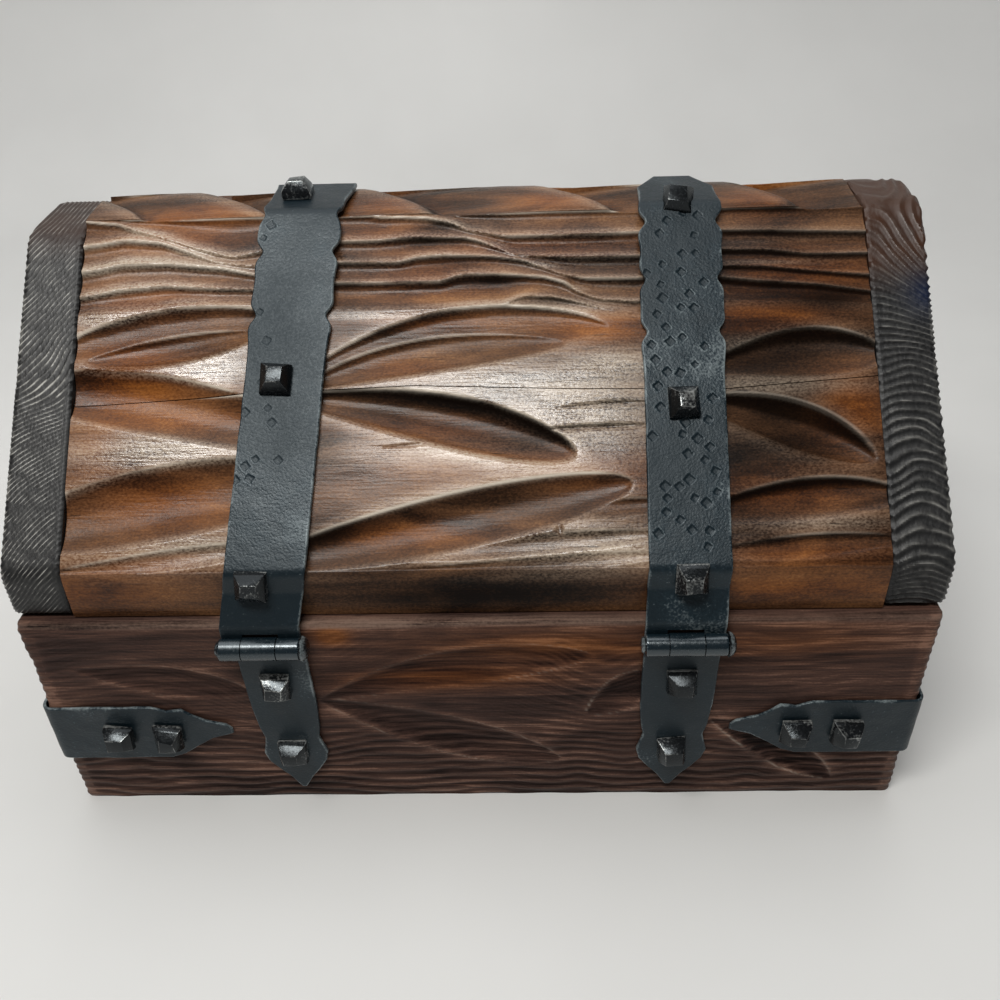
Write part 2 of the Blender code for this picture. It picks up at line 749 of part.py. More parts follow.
def square_prism(bm, frame, size_low, size_high, low, high):
    """Add a square prism or pyramid stump along the frame's z axis."""
    half_turn = Matrix.Rotation(math.radians(45.0), 4, "Z")
    place = frame @ Matrix.Translation((0.0, 0.0, (low + high) / 2)) @ half_turn
    root = math.sqrt(0.5)
    return bmesh.ops.create_cone(
        bm, cap_ends=True, segments=4, radius1=size_low * root, radius2=size_high * root,
        depth=high - low, matrix=place)


def forged_nail(bm, frame, lift, shank_length):
    """A square nail with a faceted head that stands at lift above the face."""
    shank = square_prism(bm, frame, SHANK_TIP, SHANK, lift - shank_length, lift)
    head_face = max((f for f in {face for vert in shank["verts"] for face in vert.link_faces}),
                    key=lambda f: (frame.inverted() @ f.calc_center_median()).z)
    centre = frame @ Vector((0.0, 0.0, lift))
    steps = ((HEAD_SIZE, 0.0), (HEAD_SIZE, HEAD_RIM), (HEAD_TOP, HEAD_HEIGHT))
    size = SHANK
    out = frame.to_3x3() @ Vector((0.0, 0.0, 1.0))
    height = 0.0
    for new_size, new_height in steps:
        grown = bmesh.ops.extrude_face_region(bm, geom=[head_face])
        bmesh.ops.delete(bm, geom=[head_face], context="FACES_ONLY")
        head_face = next(item for item in grown["geom"] if isinstance(item, bmesh.types.BMFace))
        for vert in head_face.verts:
            flat = vert.co - centre - out * height
            vert.co = centre + flat * (new_size / size) + out * new_height
        size = new_size
        height = new_height


def drive_nails(name, frames, targets, cuts, material, shank_length=SHANK_LENGTH):
    """A nail at each frame, each its own object, through holes in the targets."""
    nails = []
    size = SHANK + 2.0 * SEAT_GAP
    for number, frame in enumerate(frames, start=1):
        bm = bmesh.new()
        forged_nail(bm, frame, NAIL_LIFT, shank_length)
        nail_name = f"{name}_{number}" if len(frames) > 1 else name
        nails.append(add_object(nail_name, bm, material))

        def hole(bm, frame=frame):
            square_prism(bm, frame, size, size, NAIL_LIFT - shank_length - SEAT_GAP, NAIL_LIFT + SEAT_GAP)

        cuts.add(targets, hole)
    return nails


def slope_frame(side, x, s):
    """Frame at s up a slope, its y axis up the slope."""
    y, z = slope_point(side, s, 0.0)
    normal = (0.0, side * math.sin(SLOPE_ANGLE), math.cos(SLOPE_ANGLE))
    up = (0.0, -side * math.cos(SLOPE_ANGLE), math.sin(SLOPE_ANGLE))
    return nail_frame((x, y, z), normal, up)


def face_frame(side, x, z, y=None):
    """Frame on an upright face that looks along +Y or -Y."""
    place_y = side * BASE_DEPTH / 2 if y is None else y
    return nail_frame((x, place_y, z), (0.0, side, 0.0), (0.0, 0.0, 1.0))


def interpolate(stations_list, value):
    """Read a value off a list of (place, value) stations."""
    before = stations_list[0]
    if value <= before[0]:
        return before[1]
    for after in stations_list[1:]:
        if value <= after[0]:
            share = (value - before[0]) / (after[0] - before[0])
            return before[1] + (after[1] - before[1]) * share
        before = after
    return before[1]


def lid_strap_path():
    """Hinge roll, joggle over the ledge, upright, slope and ridge, as a line at mid thickness."""
    axis = (HINGE_AXIS.y, HINGE_AXIS.z)
    roll = arc(axis, ROLL_RADIUS, ROLL_TURN - 180.0, -180.0, ROLL_STEPS)
    ledge = BASE_HEIGHT + LEDGE_CLEARANCE + PLATE / 2
    upright_y = LID_HALF_DEPTH + STRAP_LIFT
    arris = slope_point(1, -STRAP_LIFT * math.tan((math.pi / 2 - SLOPE_ANGLE) / 2), STRAP_LIFT)
    ridge = slope_point(1, SLOPE_LENGTH + STRAP_LIFT * math.tan(SLOPE_ANGLE / 2), STRAP_LIFT)
    end = (STRAP_END_MARGIN - RIDGE_HALF, RIDGE_HEIGHT + STRAP_LIFT)
    corners = [
        (axis[0] - ROLL_RADIUS, axis[1]), (axis[0] - ROLL_RADIUS, ledge), (upright_y, ledge),
        (upright_y, arris[1]), ridge, end,
    ]
    body = rounded_corners(corners, BEND_RADIUS)
    return Path(roll + [tuple(point) for point in body[1:]])


def build_lid_strap(name, hinge_x, centres, ending, material):
    """Long strap over the back of the lid, rolled into the hinge's two outer knuckles."""
    path = lid_strap_path()
    roll_end = path.marks[ROLL_STEPS]
    slot_end = roll_end + BARREL_RADIUS + SEAT_GAP
    arris_at = path.length - STRAP_LAST
    edges = knuckle_edges_at(hinge_x, STRAP_WIDTH, OUTER_KNUCKLE)
    half = STRAP_WIDTH / 2

    def centre(mark):
        line = [(slot_end, 0.0)] + [(arris_at + s, x) for s, x in centres]
        return hinge_x + interpolate(line, mark)

    def outline(mark):
        s = mark - arris_at
        width = half
        if s >= WAVE_START:
            width = half - WAVE_DEPTH * (1.0 - abs(math.sin(math.pi * (s - WAVE_START) / WAVE_PITCH)))
        return ending(width, s), ending(width, s)

    wave_count = int((STRAP_LAST - WAVE_START) / WAVE_PITCH * WAVE_STEPS)
    wave_marks = [arris_at + WAVE_START + WAVE_PITCH * k / WAVE_STEPS for k in range(wave_count + 1)]
    wave_marks.append(arris_at + WAVE_START - SEAT_GAP)
    rows = [(mark, edges, OUTER_STRIPS) for mark in path.marks[:ROLL_STEPS + 1]]
    rows += sheet_rows(path, slot_end, path.length, outline, centre, edges, extra=wave_marks)
    return smooth(ribbon(name, path, rows, material))


def squared_end(width, s):
    """Half width near a strap's end that flares a little and stays square."""
    if s > SLOPE_LENGTH:
        share = (s - SLOPE_LENGTH) / (STRAP_LAST - SLOPE_LENGTH)
        return STRAP_WIDTH / 2 - STRAP_FLARE * (1.0 - share)
    return width


def tapered_end(width, s):
    """Half width near a strap's end that is cut back at both corners."""
    corner = STRAP_LAST - STRAP_TAPER_LENGTH
    if s > corner:
        return STRAP_WIDTH / 2 - (s - corner) * STRAP_TAPER
    if s > SLOPE_LENGTH - WAVE_PITCH / 4:
        return STRAP_WIDTH / 2
    return width


def build_base_leaf(name, hinge_x, lean, material):
    """Short leaf on the back of the base, rolled into the hinge's middle knuckle."""
    axis = (HINGE_AXIS.y, HINGE_AXIS.z)
    roll = arc(axis, ROLL_RADIUS, 180.0 - ROLL_TURN, 180.0, ROLL_STEPS)
    sheet = [(axis[0] - ROLL_RADIUS, axis[1] - BASE_LEAF_LENGTH)]
    path = Path(roll + sheet)
    roll_end = path.marks[ROLL_STEPS]
    shoulder = roll_end + BARREL_RADIUS + SEAT_GAP
    edges = middle_knuckle_edges(knuckle_edges_at(hinge_x, STRAP_WIDTH, OUTER_KNUCKLE))

    def centre(mark):
        return hinge_x + lean * (mark - shoulder) / (path.length - shoulder)

    def outline(mark):
        half = STRAP_WIDTH / 2 * interpolate(BASE_LEAF_PROFILE, (mark - roll_end) / BASE_LEAF_LENGTH)
        return half, half

    leaf_marks = [roll_end + share * BASE_LEAF_LENGTH for share, _ in BASE_LEAF_PROFILE]
    rows = [(mark, edges, MIDDLE_STRIP) for mark in path.marks[:ROLL_STEPS + 1]]
    rows += sheet_rows(path, shoulder, path.length, outline, centre, edges, extra=leaf_marks)
    return smooth(ribbon(name, path, rows, material))


def turned_pin(name, centre, barrel_width, head_way, material):
    """Hinge pin turned about X: a domed head at one end and a riveted one at the other."""
    half = barrel_width / 2 + SEAT_GAP
    profile = [
        (0.0, half + PIN_HEAD_LENGTH), (PIN_HEAD_RADIUS * 0.55, half + PIN_HEAD_LENGTH * 0.85),
        (PIN_HEAD_RADIUS * 0.88, half + PIN_HEAD_LENGTH * 0.5), (PIN_HEAD_RADIUS, half),
        (PIN_RADIUS, half), (PIN_RADIUS, -half), (PIN_END_RADIUS, -half),
        (PIN_END_RADIUS * 0.7, -half - PIN_END_LENGTH), (0.0, -half - PIN_END_LENGTH),
    ]
    mesh = bpy.data.meshes.new(name)
    mesh.from_pydata([(radius, 0.0, height) for radius, height in profile],
                     [(k, k + 1) for k in range(len(profile) - 1)], [])
    mesh.materials.append(material)
    item = bpy.data.objects.new(name, mesh)
    bpy.data.collections[PARTS_NAME].objects.link(item)
    item.location = centre
    item.rotation_euler = (0.0, math.radians(90.0 * head_way), 0.0)
    screw = item.modifiers.new("turned", "SCREW")
    screw.steps = PIN_STEPS
    screw.render_steps = PIN_STEPS
    screw.use_merge_vertices = True
    screw.merge_threshold = 0.00001
    screw.use_smooth_shade = True
    return item


def build_corner_band(name, x_side, y_side, material):
    """Flat band round an upright corner of the base, from one snout to the other."""
    lift = STRAP_LIFT
    corner = (BASE_DEPTH / 2 + lift, BASE_WIDTH / 2 + lift)
    start = (BASE_DEPTH / 2 - CORNER_BAND_REACH, corner[1])
    end = (corner[0], BASE_WIDTH / 2 - CORNER_BAND_REACH)
    path = Path(rounded_corners([start, corner, end], CORNER_ROUND, CORNER_BEND_STEPS))
    middle = path.length / 2
    marks = [middle + way * middle * share for share, _ in BAND_PROFILE for way in (-1, 1)]
    edges = (-1.0, -EDGE_SHARE, EDGE_SHARE, 1.0)

    def outline(mark):
        half = STRAP_WIDTH / 2 * interpolate(BAND_PROFILE, abs(mark - middle) / middle)
        return half, half

    rows = sheet_rows(path, 0.0, path.length, outline, lambda mark: 0.0, edges, extra=marks)
    item = ribbon(name, path, rows, material)
    for vert in item.data.vertices:
        across, y, x = vert.co
        vert.co = (x * x_side, y * y_side, BAND_HEIGHT + across)
    bm = bmesh.new()
    bm.from_mesh(item.data)
    bmesh.ops.recalc_face_normals(bm, faces=bm.faces[:])
    bm.to_mesh(item.data)
    bm.free()
    return smooth(item)


def band_nail_frames(x_side, y_side):
    """Two nails on the long face and two on the end face of a corner band."""
    frames = []
    for share in BAND_NAILS:
        x = x_side * (BASE_WIDTH / 2 - share * CORNER_BAND_REACH)
        frames.append(face_frame(y_side, x, BAND_HEIGHT))
    for share in BAND_END_NAILS:
        y = y_side * (BASE_DEPTH / 2 - share * CORNER_BAND_REACH)
        origin = (x_side * BASE_WIDTH / 2, y, BAND_HEIGHT)
        frames.append(nail_frame(origin, (x_side, 0.0, 0.0), (0.0, 0.0, 1.0)))
    return frames


def hasp_axis():
    """Hasp hinge axis: as far out as its plate hangs, and high enough to fold back on the slope."""
    y = HASP_HANG_Y + ROLL_RADIUS
    out = -y - LID_HALF_DEPTH
    rise = (HASP_AXIS_LIFT - out * math.sin(SLOPE_ANGLE)) / math.cos(SLOPE_ANGLE)
    return Vector((0.0, y, ARRIS_HEIGHT + rise))


def build_hasp_strap(name, material):
    """Cross-shaped strap on the front slope that carries the hasp's two outer knuckles."""
    axis = hasp_axis()
    lean = math.degrees(SLOPE_ANGLE)
    offset = Vector((axis.y + LID_HALF_DEPTH, axis.z - ARRIS_HEIGHT))
    uphill = Vector((math.cos(SLOPE_ANGLE), math.sin(SLOPE_ANGLE)))
    axis_s = offset.dot(uphill)
    roll = arc((axis.y, axis.z), ROLL_RADIUS, lean - 90.0 - ROLL_TURN, lean - 90.0, ROLL_STEPS)
    ramp_start = slope_point(-1, axis_s + HASP_RAMP_START, HASP_AXIS_LIFT - ROLL_RADIUS)
    ramp_end = slope_point(-1, axis_s + HASP_RAMP_END, STRAP_LIFT)
    end = slope_point(-1, HASP_TONGUE_END_S, STRAP_LIFT)
    path = Path(roll + [ramp_start, ramp_end, end])
    slot_end = path.marks[ROLL_STEPS + 2]
    edges = knuckle_edges_at(0.0, HASP_BARREL_WIDTH, HASP_OUTER_KNUCKLE)
    barrel = HASP_BARREL_WIDTH / 2
    bar = HASP_BAR_WIDTH / 2
    low = HASP_BAR_NAIL_S - HASP_BAR_HEIGHT / 2
    high = HASP_BAR_NAIL_S + HASP_BAR_HEIGHT / 2
    tip = HASP_TONGUE_END_S
    profile = [
        (axis_s, barrel), (low, barrel), (low + HASP_BAR_CORNER, bar - HASP_BAR_CORNER),
        (low + 2.0 * HASP_BAR_CORNER, bar), (high - 2.0 * HASP_BAR_CORNER, bar),
        (high - HASP_BAR_CORNER, bar - HASP_BAR_CORNER), (high, HASP_TONGUE_HALF),
        (tip - HASP_TONGUE_TIP, HASP_TONGUE_HALF - HASP_TONGUE_FLARE),
        (tip - HASP_TONGUE_TIP / 2, HASP_TONGUE_HALF + HASP_TONGUE_FLARE),
        (tip - HASP_TONGUE_TIP / 4, HASP_TONGUE_HALF / 2), (tip, HASP_TONGUE_HALF / 4),
    ]
    base_mark = path.length - HASP_TONGUE_END_S

    def outline(mark):
        half = interpolate(profile, mark - base_mark)
        return half, half

    marks = [base_mark + s for s, _ in profile[1:-1]]
    rows = [(mark, edges, OUTER_STRIPS) for mark in path.marks[:ROLL_STEPS + 2]]
    rows += sheet_rows(path, slot_end, path.length, outline, lambda mark: 0.0, edges, extra=marks)
    return smooth(ribbon(name, path, rows, material))


def build_hasp(name, material):
    """Slotted hasp, drawn hanging from its own axis and then folded back on to the lid."""
    roll = arc((0.0, 0.0), ROLL_RADIUS, 180.0 - ROLL_TURN, 180.0, ROLL_STEPS)
    path = Path(roll + [(-ROLL_RADIUS, -HASP_LENGTH)])
    roll_end = path.marks[ROLL_STEPS]
    edges = middle_knuckle_edges(knuckle_edges_at(0.0, HASP_BARREL_WIDTH, HASP_OUTER_KNUCKLE))
    neck = edges[2]
    half = HASP_WIDTH / 2
    rim = HASP_SLOT_WIDTH / 2
    profile = [
        (HASP_NECK, neck), (HASP_NECK + HASP_SHOULDER, half), (HASP_SLOT_START, half),
        (HASP_SLOT_END, half), (HASP_LENGTH - HASP_SHOULDER, half - HASP_TIP_CUT / 4),
        (HASP_LENGTH, half - HASP_TIP_CUT),
    ]
    rows = [(mark, edges, MIDDLE_STRIP) for mark in path.marks[:ROLL_STEPS + 1]]
    for depth, reach in profile:
        strips = OUTER_STRIPS if depth == HASP_SLOT_START else ALL_STRIPS
        rows.append((roll_end + depth, (-reach, -rim, rim, reach), strips))
    item = ribbon(name, path, rows, material)
    item.location = hasp_axis()
    item.rotation_euler = (-(math.pi / 2 + math.pi - SLOPE_ANGLE), 0.0, 0.0)
    return smooth(item)


def staple_height():
    return hasp_axis().z - STAPLE_DROP


def build_staple_plate(name, material):
    """Plate behind the staple, with clipped corners."""
    half_x = STAPLE_PLATE_WIDTH / 2
    half_z = STAPLE_PLATE_HEIGHT / 2
    clip = STAPLE_PLATE_CLIP
    outline = [
        (-half_x + clip, -half_z), (half_x - clip, -half_z), (half_x, -half_z + clip),
        (half_x, half_z - clip), (half_x - clip, half_z), (-half_x + clip, half_z),
        (-half_x, half_z - clip), (-half_x, -half_z + clip),
    ]
    origin = (0.0, -BASE_DEPTH / 2 - STRAP_LIFT, staple_height())
    place = nail_frame(origin, (0.0, -1.0, 0.0), (0.0, 0.0, 1.0))
    return outline_plate(name, outline, PLATE, place, material)


def build_staple(name, targets, cuts, material):
    """Round-bar staple driven through its plate into the front of the base."""
    face = -BASE_DEPTH / 2
    half = STAPLE_LEG_SPACING / 2
    bow = face - STAPLE_REACH + STAPLE_RADIUS
    points = [(face + STAPLE_DEPTH, -half)]
    points += [(bow + half - half * math.sin(angle), -half * math.cos(angle))
               for angle in (math.pi * k / STAPLE_BENDS for k in range(STAPLE_BENDS + 1))]
    points += [(face + STAPLE_DEPTH, half)]
    curve = bpy.data.curves.new(name + "_line", "CURVE")
    curve.dimensions = "3D"
    curve.bevel_depth = STAPLE_RADIUS
    curve.bevel_resolution = 2
    curve.use_fill_caps = True
    spline = curve.splines.new("POLY")
    spline.points.add(len(points) - 1)
    for point, (y, z) in zip(spline.points, points):
        point.co = (0.0, y, z, 1.0)
    curve.materials.append(material)
    line = bpy.data.objects.new(name + "_line", curve)
    line.location = (0.0, 0.0, staple_height())
    bpy.data.collections[PARTS_NAME].objects.link(line)
    bpy.context.view_layer.update()
    item = mesh_from_curve(line, name)
    smooth(item)

    def holes(bm):
        for way in (-1, 1):
            z = staple_height() + way * half
            add_cylinder(bm, STAPLE_RADIUS + SEAT_GAP, (0.0, face - PLATE * 2, z),
                         (0.0, face + STAPLE_DEPTH + SEAT_GAP, z), STAPLE_HOLE_SIDES)

    cuts.add(targets, holes)
    return item


def build_base(wood, cuts):
    """The five boards of the base."""
    boards = {
        "back": build_base_long_board(1, "base_back_board", wood),
        "front": build_base_long_board(-1, "base_front_board", wood),
        "left": build_end_board(-1, "base_left_end_board", wood),
        "right": build_end_board(1, "base_right_end_board", wood),
    }
    build_bottom_board("base_bottom_board", wood)
    cuts.add(boards.values(), add_rabbet)
    return boards


def build_lid(wood, charred):
    """The five boards of the lid and its two end caps."""
    return {
        "back_lower": build_lower_board(1, "lid_back_lower_board", wood),
        "back_upper": build_upper_board(1, "lid_back_upper_board", wood),
        "front_lower": build_lower_board(-1, "lid_front_lower_board", wood),
        "front_upper": build_upper_board(-1, "lid_front_upper_board", wood),
        "ridge": build_ridge_board("lid_ridge_board", wood),
        "left_cap": build_cap(-1, 0.0, "lid_left_cap", charred),
        "right_cap": build_cap(1, RIGHT_CAP_DROP, "lid_right_cap", charred),
    }


def build_hinges(iron, base, lid, cuts):
    """Two strap hinges across the back, each of a lid strap, a base leaf, a pin and their nails."""
    lid_items = []
    for k, word in enumerate(("right", "left")):
        ending = squared_end if k == 0 else tapered_end
        strap = build_lid_strap(word + "_lid_strap", HINGE_X[k], STRAP_CENTRES[k], ending, iron)
        leaf = build_base_leaf(word + "_base_leaf", HINGE_X[k], BASE_LEAF_LEANS[k], iron)
        turned_pin(word + "_hinge_pin", (HINGE_X[k], HINGE_AXIS.y, HINGE_AXIS.z), STRAP_WIDTH, -1, iron)
        x, up = UPRIGHT_NAILS[k]
        upright_frame = face_frame(1, HINGE_X[k] + x, BASE_HEIGHT + up, LID_HALF_DEPTH)
        x, s = SLOPE_NAILS[k]
        slope_board = lid["back_lower"] if s < SLOPE_JOINT else lid["back_upper"]
        lid_items.append(strap)
        lid_items += drive_nails(word + "_upright_nail", [upright_frame],
                                 (strap, lid["back_lower"]), cuts, iron)
        lid_items += drive_nails(word + "_slope_nail", [slope_frame(1, HINGE_X[k] + x, s)],
                                 (strap, slope_board), cuts, iron)
        x, y = RIDGE_NAILS[k]
        top_frame = nail_frame((HINGE_X[k] + x, y, RIDGE_HEIGHT), (0.0, 0.0, 1.0), (0.0, -1.0, 0.0))
        lid_items += drive_nails(word + "_ridge_nail", [top_frame], (strap, lid["ridge"]), cuts, iron,
                                 RIDGE_SHANK_LENGTH)
        leaf_frames = [face_frame(1, HINGE_X[k] + x, HINGE_AXIS.z - share * BASE_LEAF_LENGTH)
                       for x, share in BASE_LEAF_NAILS[k]]
        drive_nails(word + "_base_leaf_nail", leaf_frames, (leaf, base["back"]), cuts, iron)
    return lid_items


def build_corner_bands(iron, base, cuts):
    """Four bands round the upright corners of the base."""
    for y_side, y_word in ((1, "back"), (-1, "front")):
        for x_side, x_word in ((-1, "left"), (1, "right")):
            name = y_word + "_" + x_word + "_corner_band"
            band = build_corner_band(name, x_side, y_side, iron)
            frames = band_nail_frames(x_side, y_side)
            drive_nails(name + "_nail", frames[:2], (band, base[y_word]), cuts, iron)
            drive_nails(name + "_end_nail", frames[2:], (band, base[x_word]), cuts, iron)


def build_hasp_set(iron, base, lid, cuts):
    """Hasp strap, pin and hasp on the front of the lid, staple and its plate on the base."""
    strap = build_hasp_strap("hasp_strap", iron)
    pin = turned_pin("hasp_pin", hasp_axis(), HASP_BARREL_WIDTH, 1, iron)
    hasp = build_hasp("hasp", iron)
    bar_frames = [slope_frame(-1, way * HASP_BAR_NAIL_X, HASP_BAR_NAIL_S) for way in (-1, 1)]
    nails = drive_nails("hasp_bar_nail", bar_frames, (strap, lid["front_lower"]), cuts, iron)
    nails += drive_nails("hasp_tongue_nail", [slope_frame(-1, 0.0, HASP_TONGUE_NAIL_S)],
                         (strap, lid["front_upper"]), cuts, iron)
    plate = build_staple_plate("staple_plate", iron)
    build_staple("staple", (plate, base["front"]), cuts, iron)
    plate_frames = [face_frame(-1, way * STAPLE_NAIL_X, staple_height()) for way in (-1, 1)]
    drive_nails("staple_plate_nail", plate_frames, (plate, base["front"]), cuts, iron)
    return [strap, pin, hasp] + nails


def add_pivot(name, place):
    """An empty on a joint's axis."""
    pivot = bpy.data.objects.new(name, None)
    pivot.location = place
    bpy.data.collections[PARTS_NAME].objects.link(pivot)
    return pivot


def hang_on(pivot, items):
    """Parent the pieces to a pivot where they are."""
    bpy.context.view_layer.update()
    for item in items:
        item.parent = pivot
        item.matrix_parent_inverse = pivot.matrix_world.inverted()


def build_chest():
    """Build the whole chest."""
    clear_scene()
    cuts = Cuts()
    iron = black_iron()
    base = build_base(base_wood(), cuts)
    lid = build_lid(carved_wood(), charred_wood())
    lid_items = list(lid.values())
    lid_items += build_hinges(iron, base, lid, cuts)
    build_corner_bands(iron, base, cuts)
    lid_items += build_hasp_set(iron, base, lid, cuts)
    cuts.make()
    hang_on(add_pivot("lid_pivot", HINGE_AXIS), lid_items)


build_chest()
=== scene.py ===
"""Looks of a carved wooden treasure chest, built round its packed boards and irons.

Lengths are in metres in the chest's own frame: +X towards its right end, +Y towards its hinged back
and +Z up, from the middle of the underside. Carving is given in millimetres as seen by someone who
looks at the carved face: r runs to the right from its middle and s runs up from its lower edge.
"""

import logging
import math
from dataclasses import dataclass, field, replace
from enum import Enum
from typing import Callable, Optional, Sequence

import bmesh
import bpy
import numpy as np
from mathutils import Matrix, Vector


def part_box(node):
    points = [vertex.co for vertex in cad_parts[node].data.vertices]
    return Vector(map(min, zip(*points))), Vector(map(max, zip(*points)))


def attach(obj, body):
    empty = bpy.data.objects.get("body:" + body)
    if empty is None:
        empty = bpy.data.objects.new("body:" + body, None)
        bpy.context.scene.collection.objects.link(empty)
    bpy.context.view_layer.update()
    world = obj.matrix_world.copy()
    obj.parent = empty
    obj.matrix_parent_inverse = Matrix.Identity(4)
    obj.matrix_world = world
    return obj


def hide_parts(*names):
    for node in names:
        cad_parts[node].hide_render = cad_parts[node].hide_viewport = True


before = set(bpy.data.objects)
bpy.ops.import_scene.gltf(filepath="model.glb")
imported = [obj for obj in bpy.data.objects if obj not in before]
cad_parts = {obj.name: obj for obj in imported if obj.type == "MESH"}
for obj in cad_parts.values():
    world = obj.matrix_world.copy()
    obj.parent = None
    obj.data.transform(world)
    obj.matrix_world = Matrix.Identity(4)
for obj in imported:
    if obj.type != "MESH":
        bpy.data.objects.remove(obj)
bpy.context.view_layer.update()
LOG = logging.getLogger("chest")
MM = 0.001
MARK_REACH = 0.004  # how far a face's painted marks run round its edge onto the sides
IRON_STEP = 0.00032  # distance between the stations along a forged iron
ARRIS_REACH = 0.0022  # how far an arris of the lid is worn to either side
Array = np.ndarray
Marks = dict[str, Array]


class Face(Enum):
    """A long side of the chest, by the sign of its Y."""

    BACK = 1
    FRONT = -1


class End(Enum):
    """An end of the chest, by the sign of its X."""

    RIGHT = 1
    LEFT = -1


class Body(str, Enum):
    """The moving bodies that shaped pieces ride on."""

    BASE = "base"
    LID = "lid"


class Slot(str, Enum):
    """The record's material slots."""

    CARVED = "carved_wood"
    BASE = "base_wood"
    CHARRED = "charred_wood"
    IRON = "black_iron"


@dataclass(frozen=True)
class ChestSizes:
    """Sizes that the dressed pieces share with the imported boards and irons.

    Fields:
        base_width, base_depth, base_height: the base over its boards.
        board: thickness of the boards.
        lid_overhang: how far the lid's caps stand out past the base's ends.
        lid_inset: how far the lid's foot stands back from the base's long sides.
        upright: height of that foot.
        slope_angle: how steep the lid's slopes are.
        ridge_width: width of the flat ridge.
        cap_thickness: thickness of a cap.
        seat_gap: gap between pieces that touch.
        lid_gap: gap between the lid and the base.
        ledge_clearance: gap between a lid strap and the base's top.
        plate: thickness of a strap.
        strap_width: its width.
        barrel_radius: outer radius of a rolled knuckle.
        hinge_drop: how far under the base's top the hinge axis lies.
    """

    base_width: float = 0.295
    base_depth: float = 0.210
    base_height: float = 0.085
    board: float = 0.0195
    lid_overhang: float = 0.0012
    lid_inset: float = 0.0046
    upright: float = 0.0174
    slope_angle: float = math.radians(43.0)
    ridge_width: float = 0.0258
    cap_thickness: float = 0.0195
    seat_gap: float = 0.0003
    lid_gap: float = 0.0006
    ledge_clearance: float = 0.0005
    plate: float = 0.0016
    strap_width: float = 0.0254
    barrel_radius: float = 0.00375
    hinge_drop: float = 0.006

    @property
    def lid_half_depth(self) -> float:
        """Half the depth of the lid over its upright foot."""
        return self.base_depth / 2 - self.lid_inset

    @property
    def ridge_half(self) -> float:
        """Half the width of the flat ridge."""
        return self.ridge_width / 2

    @property
    def slope_length(self) -> float:
        """Length of a slope from its lower arris to the ridge."""
        return (self.lid_half_depth - self.ridge_half) / math.cos(self.slope_angle)

    @property
    def lid_seat(self) -> float:
        """Height of the lid's lower edge."""
        return self.base_height + self.lid_gap

    @property
    def arris_height(self) -> float:
        """Height of the arris between the lid's foot and its slope."""
        return self.lid_seat + self.upright

    @property
    def ridge_height(self) -> float:
        """Height of the ridge."""
        return self.arris_height + self.slope_length * math.sin(self.slope_angle)

    @property
    def lid_half_width(self) -> float:
        """Half the width of the lid over its end caps."""
        return self.base_width / 2 + self.lid_overhang

    @property
    def lid_board_half(self) -> float:
        """Half the width of the lid's carved boards."""
        return self.lid_half_width - self.cap_thickness - self.seat_gap

    @property
    def roll_radius(self) -> float:
        """Radius of a rolled knuckle at mid thickness."""
        return self.barrel_radius - self.plate / 2

    @property
    def hinge_axis(self) -> tuple[float, float]:
        """The lid hinge's axis as (y, z)."""
        return (self.base_depth / 2 + self.seat_gap + self.barrel_radius,
                self.base_height - self.hinge_drop)

    @property
    def strap_lift(self) -> float:
        """Height of a strap's middle over the wood."""
        return self.seat_gap + self.plate / 2


SIZES = ChestSizes()


def smooth_step(value: Array) -> Array:
    """Ease from 0 to 1 while value goes from 0 to 1."""
    value = np.clip(value, 0.0, 1.0)
    return value * value * (3.0 - 2.0 * value)


def lattice_noise(points: Array, seed: int) -> Array:
    """Smooth noise between about -1 and 1.

    Args:
        points: places in noise cells, three numbers each.
        seed: picks one of many like patterns.

    Returns:
        One value for each place.
    """
    cell = np.floor(points).astype(np.int64)
    part = points - cell
    fade = part * part * (3.0 - 2.0 * part)
    total = np.zeros(points.shape[:-1])
    for corner in np.ndindex(2, 2, 2):
        step = np.array(corner)
        key = (cell + step) @ np.array([73856093, 19349663, 83492791]) + seed * 40503
        key = (key ^ (key >> 13)) * 1274126177
        value = ((key ^ (key >> 16)) & 0xFFFF) / 32767.5 - 1.0
        total += value * np.prod(np.where(step == 1, fade, 1.0 - fade), axis=-1)
    return total


def rough_noise(points: Array, size: float | Sequence[float], seed: int, layers: int = 3) -> Array:
    """Layered noise with features of a given size.

    Args:
        points: places in metres.
        size: feature size in metres, one number or one for each axis.
        seed: picks the pattern.
        layers: how many ever finer layers are added up.

    Returns:
        One value for each place, between about -1 and 1.
    """
    total = np.zeros(points.shape[:-1])
    scale = 1.0 / np.broadcast_to(np.asarray(size, float), (3,))
    weight = 1.0
    reach = 0.0
    for layer in range(layers):
        total += weight * lattice_noise(points * scale * 2.0 ** layer + 17.3 * layer, seed + layer)
        reach += weight
        weight *= 0.5
    return total / reach


def blurred(values: Array, reach: int) -> Array:
    """Average a grid of values over a square of samples, twice, for a soft blur.

    Args:
        values: the grid.
        reach: samples to each side.

    Returns:
        A grid of the same size.
    """
    width = 2 * reach + 1
    result = values
    for axis in (0, 1, 0, 1):
        turned = np.swapaxes(result, 0, axis)
        sums = np.cumsum(np.pad(turned, ((reach + 1, reach), (0, 0)), mode="edge"), axis=0)
        result = np.swapaxes((sums[width:] - sums[:-width]) / width, 0, axis)
    return result


def distances(line: Array) -> Array:
    """Distance of each point of a line from its start, along the line."""
    return np.concatenate([[0.0], np.cumsum(np.linalg.norm(np.diff(line, axis=0), axis=1))])


def bend(start: Array, corner: Array, stop: Array) -> list[Array]:
    """Points of the small bend that takes the place of a corner."""
    return [(1 - share) ** 2 * start + 2 * share * (1 - share) * corner + share ** 2 * stop
            for share in np.linspace(0.0, 1.0, 9)]


